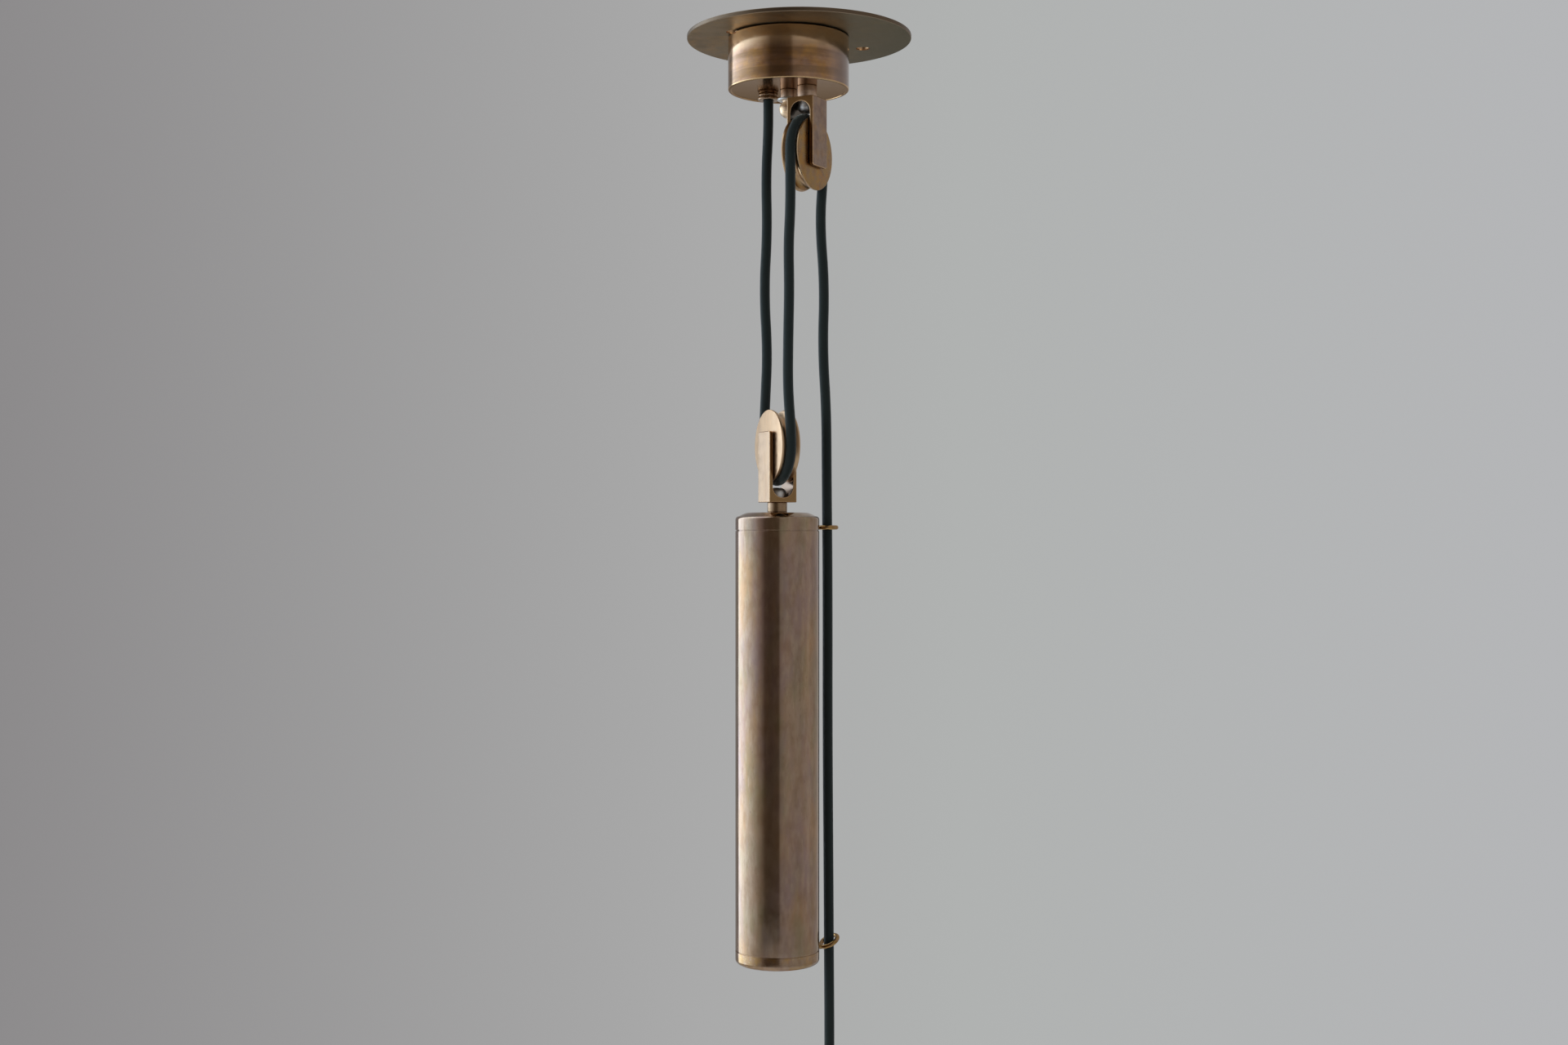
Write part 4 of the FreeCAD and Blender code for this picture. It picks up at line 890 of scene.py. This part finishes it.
def cutter_outline(radius, low, high):
    """A plain rod that a Boolean takes away."""
    return ((0, low, 0), (radius, low, 0), (radius, high, 0), (0, high, 0))


def cut_with(piece, cutter):
    """Takes a cutter's shape out of a piece, with a modifier that is applied later."""
    cut = piece.modifiers.new(cutter.name, "BOOLEAN")
    cut.object = cutter
    cut.operation = "DIFFERENCE"
    cut.solver = "EXACT"
    return cut


def drilled(piece, holes, wall):
    """Cuts upright holes (x, y, radius) through a piece. Their walls get a finish of their own, painted
    lighter as a highlight.
    """
    drills = []
    for number, (x, y, radius) in enumerate(holes):
        drill = turned("drill_%d" % number, cutter_outline(radius, -drill_reach, drill_reach), x, y,
                       cutter_segments, closed=False)
        drill.data.materials.append(wall)
        cut_with(piece, drill).material_mode = "TRANSFER"
        drills.append(drill)
    mesh = baked(piece)
    piece.modifiers.clear()
    piece.data = mesh
    mesh.shade_smooth()
    mesh.set_sharp_from_angle(angle=sharp_angle)
    for drill in drills:
        bpy.data.objects.remove(drill)
    return piece


disc = turned("ceiling_disc", (
    (0, plate.low, 0), (plate.radius, plate.low, plate_edge), (plate.radius, plate.high, plate_edge),
    (0, plate.high, 0),
), plate.x, plate.y, wide_segments, closed=False)
disc.data.materials.append(plate_brass)
screw_x, screw_y = screw_circle_radius * math.cos(screw_angle), screw_circle_radius * math.sin(screw_angle)
drilled(disc, ((screw_x, screw_y, screw_hole_radius), (-screw_x, -screw_y, screw_hole_radius),
               (grommet.x, grommet.y, entry_hole_radius)), edge_wear_and_highlight)
dress(disc, "canopy", None, "satin_brass", "ceiling_plate")

# %% [markdown]
# ### Wiring cup
#
# Spun from sheet. Its floor is set up inside a rounded rim, and the bead at the rim carries a painted
# highlight.

# %% Wiring cup
cup_wall = 1.5 * mm
cup_recess = 0.5 * mm
cup_floor = 1.6 * mm
rim_width = 1.8 * mm
rim_round = 0.8 * mm
rim_inner_round = 0.2 * mm
rim_inner_edge = 0.25 * mm
cup_edge = 0.4 * mm
cup_floor_round = 0.8 * mm
cup_shell = turned("wiring_cup", (
    (0, cup.low + cup_recess, 0),
    (cup.radius - rim_width, cup.low + cup_recess, rim_inner_round),
    (cup.radius - rim_width, cup.low, rim_inner_edge),
    (cup.radius, cup.low, rim_round),
    (cup.radius, cup.high, cup_edge),
    (cup.radius - cup_wall, cup.high, cup_edge),
    (cup.radius - cup_wall, cup.low + cup_recess + cup_floor, cup_floor_round),
    (0, cup.low + cup_recess + cup_floor, 0),
), cup.x, cup.y, wide_segments, closed=False)
dress(cup_shell, "canopy", spun_cup_brass, "satin_brass", "canopy_cup")

# %% [markdown]
# ### Collar, washer and ball nut
#
# The stud that carries the cup comes through a turned collar and a steel washer, and a ball nut with a
# short neck closes it. The ball is an arc from its foot to the neck.

# %% Collar, washer and ball nut
collar = measure("stud_collar")
washer = measure("stud_washer")
ball = measure("ball_nut")
stud_radius = 2.55 * mm
collar_edge = 0.4 * mm
washer_edge = 0.35 * mm


def ring_piece(name, size, bore, edge):
    """A plain turned ring between two heights."""
    outline = ((bore, size.low, 0), (size.radius, size.low, edge), (size.radius, size.high, edge),
               (bore, size.high, 0))
    return turned(name, outline, size.x, size.y, small_segments)


collar_piece = ring_piece("turned_collar", collar, stud_radius, collar_edge)
dress(collar_piece, "canopy", bronze, "satin_brass", "stud_collar")
washer_piece = ring_piece("washer_disc", washer, stud_radius, washer_edge)
dress(washer_piece, "canopy", steel, "steel", "stud_washer")

neck_radius = 3.7 * mm
ball_steps = 24
ball_centre = ball.low + ball.radius
neck_angle = math.asin(neck_radius / ball.radius)
ball_outline = [(neck_radius, ball.high, 0), (0, ball.high, 0)]
for step in range(ball_steps + 1):
    angle = math.pi - (math.pi - neck_angle) * step / ball_steps
    ball_outline.insert(0, (ball.radius * math.sin(angle), ball_centre + ball.radius * math.cos(angle), 0))
ball_piece = turned("ball_nut_polished", ball_outline, ball.x, ball.y, small_segments, closed=False)
dress(ball_piece, "canopy", ball_brass, "polished_brass", "ball_nut")

# %% [markdown]
# ### Cord gland and spacers
#
# A stepped bush leads the cord out of the cup's floor, with a soft flange and a narrow neck. A plain
# turned spacer stands between each fork and what carries it.

# %% Cord gland
gland = measure("cord_gland")
gland_bore = 3.35 * mm
gland_neck = 5.9 * mm
gland_thread = 4.8 * mm
flange_height = 2.1 * mm
bore_round = 0.3 * mm
flange_round = 0.7 * mm
groove_round = 0.1 * mm
neck_step = 0.5 * mm
neck_groove = 0.3 * mm
floor_under = cup.low + cup_recess
flange_top = gland.low + flange_height
gland_piece = turned("cord_bush", (
    (gland_bore, gland.low, bore_round),
    (gland.radius, gland.low, flange_round),
    (gland.radius, flange_top, flange_round),
    (gland_neck - neck_step, flange_top, groove_round),
    (gland_neck - neck_step, flange_top + neck_groove, groove_round),
    (gland_neck, flange_top + neck_groove, neck_step),
    (gland_neck, floor_under, neck_step),
    (gland_thread, floor_under, 0),
    (gland_thread, gland.high, 0),
    (gland_bore, gland.high, 0),
), gland.x, gland.y, small_segments)
dress(gland_piece, "canopy", gland_brass, "polished_brass", "cord_gland")

# %% Spacers between forks and what carries them
screw_bore = 3.05 * mm
spacer_edge = 0.3 * mm
for name, node, body, brass in (("upper_spacer", "upper_stem", "canopy", bronze),
                                ("lower_spacer", "lower_stem", "counterweight", gland_brass)):
    dress(ring_piece(name, measure(node), screw_bore, spacer_edge), body, brass, "satin_brass", node)

# %% [markdown]
# ### Pulley wheels
#
# Each wheel is turned too, about its own level axle. The groove's bottom is a half circle that fits the
# cord.

# %% Pulley wheels
wheel_half = 5.75 * mm
wheel_radius = 21.5 * mm
hub_radius = 4.5 * mm
cord_clearance = 0.25 * mm
groove_radius = cord_diameter / 2 + cord_clearance
groove_steps = 16
wheel_lip = 1.0 * mm
wheel_edge = 0.3 * mm
lip_round = 0.4 * mm


def wheel_outline():
    outline = [(hub_radius, -wheel_half, 0), (wheel_radius, -wheel_half, wheel_edge),
               (wheel_radius, wheel_lip - wheel_half, lip_round)]
    for step in range(groove_steps + 1):
        angle = math.pi * step / groove_steps
        outline.append((cord_ring_radius - groove_radius * math.sin(angle),
                        -groove_radius * math.cos(angle), 0))
    return outline + [(wheel_radius, wheel_half - wheel_lip, lip_round),
                      (wheel_radius, wheel_half, lip_round), (hub_radius, wheel_half, 0)]


def about_axle(centre, azimuth):
    """Turns an upright lathe piece onto a pulley's level axle."""
    aim = Vector((math.cos(math.radians(azimuth)), -math.sin(math.radians(azimuth)), 0))
    return Matrix.Translation(centre) @ aim.to_track_quat("Z", "Y").to_matrix().to_4x4()


for side, centre, azimuth, brass in (("upper", upper_axle, upper_azimuth, upper_wheel_brass),
                                     ("lower", lower_axle, lower_azimuth, lower_wheel_brass)):
    wheel = turned(side + "_wheel", wheel_outline(), matrix=about_axle(centre, azimuth))
    dress(wheel, side + "_pulley", brass, "aged_bronze", side + "_pulley_wheel")

# %% [markdown]
# ### Counterweight
#
# A length of drawn tube between two turned caps. The seam at each cap is a groove half a millimetre wide.

# %% Counterweight
tube = measure("weight_tube")
top_cap = measure("weight_top_cap")
bottom_cap = measure("weight_bottom_cap")
weight_radius = 25.0 * mm
weight_x, weight_y = lower_axle.x, lower_axle.y
seam = 0.5 * mm
skirt_radius = 23.35 * mm
edge = 0.25 * mm

tube_piece = turned("weight_barrel", (
    (skirt_radius, tube.low, 0), (weight_radius, tube.low, edge), (weight_radius, tube.high, edge),
    (skirt_radius, tube.high, 0),
), weight_x, weight_y, wide_segments)
dress(tube_piece, "counterweight", aged_drawn_brass, "satin_brass", "weight_tube")

crown_height = 2.5 * mm
crown_round = 2.2 * mm
crown_shoulder = 0.45 * mm
shoulder_share = 0.72
crown_rise = 0.35
crown_steps = 20
round_steps = 8
seam_round = 0.05 * mm
skirt_depth = 2 * mm
wall_top = top_cap.high - crown_height
cap_outline = [(skirt_radius, tube.high - skirt_depth, 0), (skirt_radius, tube.high, 0),
               (weight_radius - seam, tube.high, 0), (weight_radius - seam, tube.high + seam, seam_round),
               (weight_radius, tube.high + seam, edge)]
for step in range(round_steps + 1):
    angle = math.pi / 2 * step / round_steps
    cap_outline.append((weight_radius - crown_round * (1 - math.cos(angle)),
                        wall_top - crown_round * (1 - math.sin(angle)), 0))
for step in range(1, crown_steps + 1):
    share = step / crown_steps
    radius = (weight_radius - crown_round) * (1 - share) + weight_radius * shoulder_share * share
    rise = (crown_height - crown_shoulder) * (share + crown_rise * share * (1 - share))
    cap_outline.append((radius, wall_top + rise, 0))
for step in range(1, crown_steps + 1):
    share = step / crown_steps
    radius = weight_radius * shoulder_share * (1 - share)
    cap_outline.append((radius, top_cap.high - crown_shoulder * (1 - share) ** 2, 0))
cap_piece = turned("weight_crown", cap_outline, weight_x, weight_y, wide_segments, closed=False)
dress(cap_piece, "counterweight", aged_drawn_brass, "satin_brass", "weight_top_cap")

foot_round = 2.7 * mm
counterbore_radius = 11.0 * mm
counterbore_depth = 5.5 * mm
counterbore_round = 0.2 * mm
counterbore_edge = 0.3 * mm
rod_hole = 5.05 * mm
foot_piece = turned("weight_foot", (
    (rod_hole, bottom_cap.low + counterbore_depth, 0),
    (counterbore_radius, bottom_cap.low + counterbore_depth, counterbore_round),
    (counterbore_radius, bottom_cap.low, counterbore_edge),
    (weight_radius, bottom_cap.low, foot_round),
    (weight_radius, tube.low - seam, edge),
    (weight_radius - seam, tube.low - seam, seam_round),
    (weight_radius - seam, tube.low, 0),
    (skirt_radius, tube.low, 0),
    (skirt_radius, tube.low + skirt_depth, 0),
    (rod_hole, tube.low + skirt_depth, 0),
), weight_x, weight_y, wide_segments)
dress(foot_piece, "counterweight", aged_drawn_brass, "satin_brass", "weight_bottom_cap")

# %% [markdown]
# ### Lampholder
#
# It hangs on the cord's end: a turned grip, a spun bell, a threaded barrel with a knurled ring for the
# shade, and a ceramic body round the sleeve that the lamp screws into. Geometry Nodes cut the threads and
# set the ring's ribs.

# %% The thread as a tree
def thread_tree(finish_used):
    """Pushes a wall in as a screw thread. Only points beyond a radius and between two heights move."""
    tree, sizes = geometry_tree("screw_thread", {"Pitch": "Float", "Depth": "Float", "Beyond": "Float",
                                                 "Low": "Float", "High": "Float"})
    here = add(tree, "GeometryNodeInputPosition")
    part = add(tree, "ShaderNodeSeparateXYZ", {"Vector": here}).outputs
    level = add(tree, "ShaderNodeCombineXYZ", {"X": part["X"], "Y": part["Y"]})
    radius = add(tree, "ShaderNodeVectorMath", {0: level}, operation="LENGTH").outputs["Value"]
    outward = add(tree, "ShaderNodeVectorMath", {0: level}, operation="NORMALIZE")
    turn = add(tree, "ShaderNodeMath", {0: part["Y"], 1: part["X"]}, operation="ARCTAN2")
    pitches = add(tree, "ShaderNodeMath", {0: part["Z"], 1: sizes["Pitch"]}, operation="DIVIDE")
    climb = add(tree, "ShaderNodeMath", {0: pitches, 1: 2 * math.pi}, operation="MULTIPLY")
    travel = add(tree, "ShaderNodeMath", {0: climb, 1: turn}, operation="SUBTRACT")
    wave = add(tree, "ShaderNodeMath", {0: travel}, operation="SINE")
    inward = add(tree, "ShaderNodeMath", {0: wave, 1: 1.0}, operation="SUBTRACT")
    move = add(tree, "ShaderNodeMath", {0: inward, 1: sizes["Depth"]}, operation="MULTIPLY")
    for value, test, limit in ((part["Z"], "GREATER_THAN", sizes["Low"]),
                               (part["Z"], "LESS_THAN", sizes["High"]),
                               (radius, "GREATER_THAN", sizes["Beyond"])):
        chosen = add(tree, "ShaderNodeMath", {0: value, 1: limit}, operation=test)
        move = add(tree, "ShaderNodeMath", {0: move, 1: chosen}, operation="MULTIPLY")
    push = add(tree, "ShaderNodeVectorMath", {0: outward, "Scale": move}, operation="SCALE")
    cut = add(tree, "GeometryNodeSetPosition", {"Geometry": sizes["Geometry"], "Offset": push})
    close_tree(tree, cut, finish_used)
    return tree


# %% The ribs as a tree
rib_count = 90
rib_sides = 10


def rib_tree(finish_used):
    """Stands upright ribs round a ring."""
    tree, sizes = geometry_tree("knurled_ring", {"Radius": "Float", "Height": "Float", "Rib": "Float",
                                                 "Middle": "Float"})
    circle = add(tree, "GeometryNodeCurvePrimitiveCircle", {
        "Resolution": rib_count, "Radius": sizes["Radius"]})
    points = add(tree, "GeometryNodeCurveToPoints", {"Curve": circle}, mode="EVALUATED")
    rib = add(tree, "GeometryNodeMeshCylinder", {
        "Vertices": rib_sides, "Radius": sizes["Rib"], "Depth": sizes["Height"]})
    ribs = add(tree, "GeometryNodeInstanceOnPoints", {"Points": points, "Instance": rib})
    height = add(tree, "ShaderNodeCombineXYZ", {"Z": sizes["Middle"]})
    raised = add(tree, "GeometryNodeTranslateInstances", {"Instances": ribs, "Translation": height})
    both = add(tree, "GeometryNodeJoinGeometry", {"Geometry": sizes["Geometry"]})
    feed(tree, both, {"Geometry": raised})
    close_tree(tree, both, finish_used)
    return tree


def tall_wall(inner, outer, low, high, step):
    """A ring's outline with points all the way up both walls, so that a thread can be cut in them."""
    rows = round((high - low) / step)
    heights = [low + (high - low) * row / rows for row in range(rows + 1)]
    return [(outer, z, 0) for z in heights] + [(inner, z, 0) for z in reversed(heights)]


def grown(name, outline, tree, sizes, x, y):
    """A turned piece about the frame's vertical axis, run through a tree and then moved to its place."""
    blank = turned(name + "_blank", outline, segments=holder_segments)
    mesh = blank.data
    bpy.data.objects.remove(blank)
    piece = grow(name, mesh, tree, sizes)
    piece.data.transform(Matrix.Translation((x, y, 0)))
    return piece


# %% Grip
grip = measure("holder_cord_grip")
cord_bore = 3.3 * mm
spigot_radius = 5 * mm
grip_taper = 4 * mm
grip_groove_drops = (6 * mm, 12 * mm)
grip_foot = 8 * mm
grip_shoulder = grip.low + grip_foot
groove = 0.4 * mm
bore_edge, spigot_edge, grip_edge, shoulder_edge = 0.4 * mm, 0.5 * mm, 0.6 * mm, 0.3 * mm
grip_outline = [(cord_bore, grip.high, bore_edge), (spigot_radius, grip.high, spigot_edge),
                (grip.radius, grip.high - grip_taper, grip_edge)]
for drop in grip_groove_drops:
    z = grip.high - drop
    grip_outline += [(grip.radius, z, 0), (grip.radius - groove, z - groove, 0),
                     (grip.radius - groove, z - 2 * groove, 0), (grip.radius, z - 3 * groove, 0)]
grip_outline += [(grip.radius, grip_shoulder, shoulder_edge), (spigot_radius, grip_shoulder, 0),
                 (spigot_radius, grip.low, 0), (cord_bore, grip.low, 0)]
grip_piece = turned("cord_grip", grip_outline, grip.x, grip.y, holder_segments)
dress(grip_piece, "lamp", bronze, "satin_brass", "holder_cord_grip")

# %% Bell
bell = measure("holder_cap")
sheet = 1.2 * mm
bell_drop = 20 * mm
bell_edge = 0.5 * mm
bell_steps = 20
bell_curve = []
for step in range(bell_steps + 1):
    angle = math.pi / 2 * step / bell_steps
    bell_curve.append((grip.radius + (bell.radius - grip.radius) * math.sin(angle),
                       bell.high - bell_drop * (1 - math.cos(angle)), 0))
bell_inside = [(max(r - sheet, spigot_radius), z - sheet, 0) for r, z, soft in reversed(bell_curve)]
bell_outline = ([(spigot_radius, bell.high, 0)] + bell_curve
                + [(bell.radius, bell.low, bell_edge), (bell.radius - sheet, bell.low, bell_edge)]
                + bell_inside + [(spigot_radius, bell.high - sheet, 0)])
bell_piece = turned("bell_cap", bell_outline, bell.x, bell.y, bell_segments)
dress(bell_piece, "lamp", bronze, "satin_brass", "holder_cap")

# %% Threaded barrel
barrel = measure("holder_shell")
barrel_row = 0.3 * mm
barrel_pitch = 2 * mm
barrel_depth = 0.22 * mm
plain_foot = 1.5 * mm
plain_top = 0.5 * mm
barrel_wall = tall_wall(barrel.radius - sheet, barrel.radius, barrel.low, barrel.high, barrel_row)
barrel_thread = {"Pitch": barrel_pitch, "Depth": barrel_depth, "Beyond": barrel.radius - sheet / 2,
                 "Low": barrel.low + plain_foot, "High": bell.low - plain_top}
barrel_piece = grown("threaded_barrel", barrel_wall, thread_tree(bronze), barrel_thread, barrel.x, barrel.y)
dress(barrel_piece, "lamp", bronze, "satin_brass", "holder_shell")

# %% Knurled shade ring
clamp = measure("shade_ring")
rib = 0.6 * mm
ring_edge = 1.2 * mm
ring_clearance = 0.05 * mm
ring_bore = barrel.radius + ring_clearance
ring_bore_edge = 0.3 * mm
clamp_outline = [
    (ring_bore, clamp.low, ring_bore_edge), (clamp.radius - rib, clamp.low, ring_edge),
    (clamp.radius - rib, clamp.high, ring_edge), (ring_bore, clamp.high, ring_bore_edge),
]
clamp_ribs = {"Radius": clamp.radius - rib, "Height": clamp.high - clamp.low - 2 * ring_edge, "Rib": rib,
              "Middle": (clamp.low + clamp.high) / 2}
clamp_piece = grown("knurled_shade_ring", clamp_outline, rib_tree(bronze), clamp_ribs, clamp.x, clamp.y)
dress(clamp_piece, "lamp", bronze, "satin_brass", "shade_ring")

# %% Ceramic body and sleeve
insert = measure("holder_insert")
sleeve = measure("socket_sleeve")
socket_depth = 15 * mm
insert_round = 0.8 * mm
mouth_clearance = 0.05 * mm
mouth_round = 0.5 * mm
mouth = sleeve.radius + mouth_clearance
insert_piece = turned("ceramic_body", (
    (0, insert.high, 0),
    (insert.radius, insert.high, insert_round),
    (insert.radius, insert.low, insert_round),
    (mouth, insert.low, mouth_round),
    (mouth, insert.high - socket_depth, 0),
    (0, insert.high - socket_depth, 0),
), insert.x, insert.y, holder_segments, closed=False)
dress(insert_piece, "lamp", ceramic, "glazed_ceramic", "holder_insert")

sleeve_sheet = 0.7 * mm
sleeve_row = 0.35 * mm
lamp_pitch = 3.6 * mm
lamp_depth = 0.35 * mm
lamp_end = 0.6 * mm
sleeve_middle = 5 * mm
sleeve_wall = tall_wall(sleeve.radius - sleeve_sheet, sleeve.radius, sleeve.low, sleeve.high, sleeve_row)
lamp_thread = {"Pitch": lamp_pitch, "Depth": lamp_depth, "Beyond": sleeve_middle,
               "Low": sleeve.low + lamp_end, "High": sleeve.high - lamp_end}
sleeve_piece = grown("lamp_sleeve", sleeve_wall, thread_tree(bright_brass), lamp_thread, sleeve.x, sleeve.y)
dress(sleeve_piece, "lamp", bright_brass, "polished_brass", "socket_sleeve")

# %% [markdown]
# ### Forks
#
# Each fork is a block with a round-ended slot, made about its axle and then moved there. A Bevel modifier
# breaks its edges, which are painted lighter, as rubbed wear and as a highlight, and Boolean modifiers cut
# the axle's hole and the seat of the screw's head. Weighted normals keep its broad faces flat.

# %% Forks
fork_arm = 2.2 * mm
fork_half = slot_half + fork_arm
fork_depth = 18 * mm
fork_web = 2.9 * mm
fork_arm_round = 2.0 * mm
fork_steps = 28
upper_web_end, upper_arm_end = 33.1 * mm, 8.1 * mm
lower_web_end, lower_arm_end = 33.7 * mm, 8.5 * mm
axle_radius = 3 * mm
head_seat_radius = 5.8 * mm
drill_over = 1 * mm
edge_break = 0.45 * mm
edge_segments = 3
edge_angle = math.radians(40)
arm_round_segments = 6
tiny = 0.01 * mm


def fork_blank(web_end, arm_end):
    """The block about its axle, along X, with a round-ended slot from front to back and rounded arm ends."""
    apex = web_end - fork_web
    outline = [(-fork_half, -arm_end), (-slot_half, -arm_end)]
    for step in range(fork_steps + 1):
        angle = math.pi * step / fork_steps
        outline.append((-slot_half * math.cos(angle), apex - slot_half + slot_half * math.sin(angle)))
    outline += [(slot_half, -arm_end), (fork_half, -arm_end), (fork_half, web_end), (-fork_half, web_end)]
    shape = bmesh.new()
    front = [shape.verts.new((x, -fork_depth / 2, z)) for x, z in outline]
    back = [shape.verts.new((x, fork_depth / 2, z)) for x, z in outline]
    shape.faces.new(front)
    shape.faces.new(back)
    for index, corner in enumerate(front):
        shape.faces.new((front[index - 1], corner, back[index], back[index - 1]))
    bmesh.ops.recalc_face_normals(shape, faces=shape.faces)
    ends = [edge for edge in shape.edges if all(v.co.z < tiny - arm_end for v in edge.verts)
            and abs(edge.verts[0].co.x - edge.verts[1].co.x) > tiny]
    bmesh.ops.bevel(shape, geom=ends, offset=fork_arm_round, offset_type="OFFSET",
                    segments=arm_round_segments, profile=0.5, affect="EDGES")
    mesh = bpy.data.meshes.new("fork_blank")
    shape.to_mesh(mesh)
    shape.free()
    mesh.shade_smooth()
    return mesh


def fork_piece(name, blank, web_end, open_side, place, face, worn_lit_edge):
    """Breaks a fork's edges, cuts the hole for its axle and the seat for its screw's head, and places it."""
    blank.materials.append(face)
    blank.materials.append(worn_lit_edge)
    piece = shown(name, blank)
    broken = piece.modifiers.new("edges", "BEVEL")
    broken.width = edge_break
    broken.segments = edge_segments
    broken.limit_method = "ANGLE"
    broken.angle_limit = edge_angle
    # The broken edges take the lighter edge finish: rubbed wear and a painted highlight.
    broken.material = 1
    apex = web_end - fork_web
    across = Matrix.Rotation(open_side * math.pi / 2, 4, "Y")
    axle_hole = cutter_outline(axle_radius, slot_half - drill_over, fork_half + drill_over)
    head_seat = cutter_outline(head_seat_radius, apex - slot_half, apex)
    cutters = [turned("axle_drill", axle_hole, segments=cutter_segments, closed=False, matrix=across),
               turned("seat_drill", head_seat, segments=cutter_segments, closed=False)]
    for cutter in cutters:
        cut_with(piece, cutter)
    mesh = baked(piece)
    for cutter in cutters:
        bpy.data.objects.remove(cutter)
    mesh.shade_smooth()
    mesh.set_sharp_from_angle(angle=sharp_angle)
    piece.modifiers.clear()
    piece.data = mesh
    weighted = piece.modifiers.new("flat_faces", "WEIGHTED_NORMAL")
    weighted.keep_sharp = True
    piece.data = baked(piece)
    piece.modifiers.clear()
    piece.data.transform(place)
    return piece


def at_axle(centre, azimuth, flip=0):
    """Places a piece made about the origin on a pulley's axle."""
    return (Matrix.Translation(centre) @ Matrix.Rotation(math.radians(-azimuth), 4, "Z")
            @ Matrix.Rotation(math.radians(flip), 4, "X"))


dress(fork_piece("upper_fork_block", fork_blank(upper_web_end, upper_arm_end), upper_web_end, -1,
                 at_axle(upper_axle, upper_azimuth), upper_fork_brass, edge_wear_and_highlight),
      "canopy", None, "aged_bronze", "upper_fork")
dress(fork_piece("lower_fork_block", fork_blank(lower_web_end, lower_arm_end), lower_web_end, 1,
                 at_axle(lower_axle, lower_azimuth, 180), lower_fork_brass, edge_wear_and_highlight),
      "counterweight", None, "aged_bronze", "lower_fork")

# %% [markdown]
# ### The frame's own pieces
#
# Small pieces, and those that are hidden inside, keep the frame's mesh and get a finish. What isn't named
# here is plated steel: screws, nuts, washers and axles.

# %% The frame's own pieces that stay
kept = {
    black_rubber: ("entry_grommet",),
    block_plastic: ("terminal_block",),
    insulation: ("cord_leads", "holder_leads"),
    iron: ("weight_core",),
    bronze: ("upper_pulley_bush", "lower_pulley_bush"),
    bright_brass: ("cord_stop", "centre_contact", "upper_cord_eye", "lower_cord_eye"),
}
steel_nodes = [name for name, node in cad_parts.items()
               if not node.hide_render and not any(name in names for names in kept.values())]
kept[steel] = tuple(steel_nodes)
for material, names in kept.items():
    for name in names:
        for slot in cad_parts[name].material_slots:
            slot.material = material
print("steel:", ", ".join(steel_nodes))
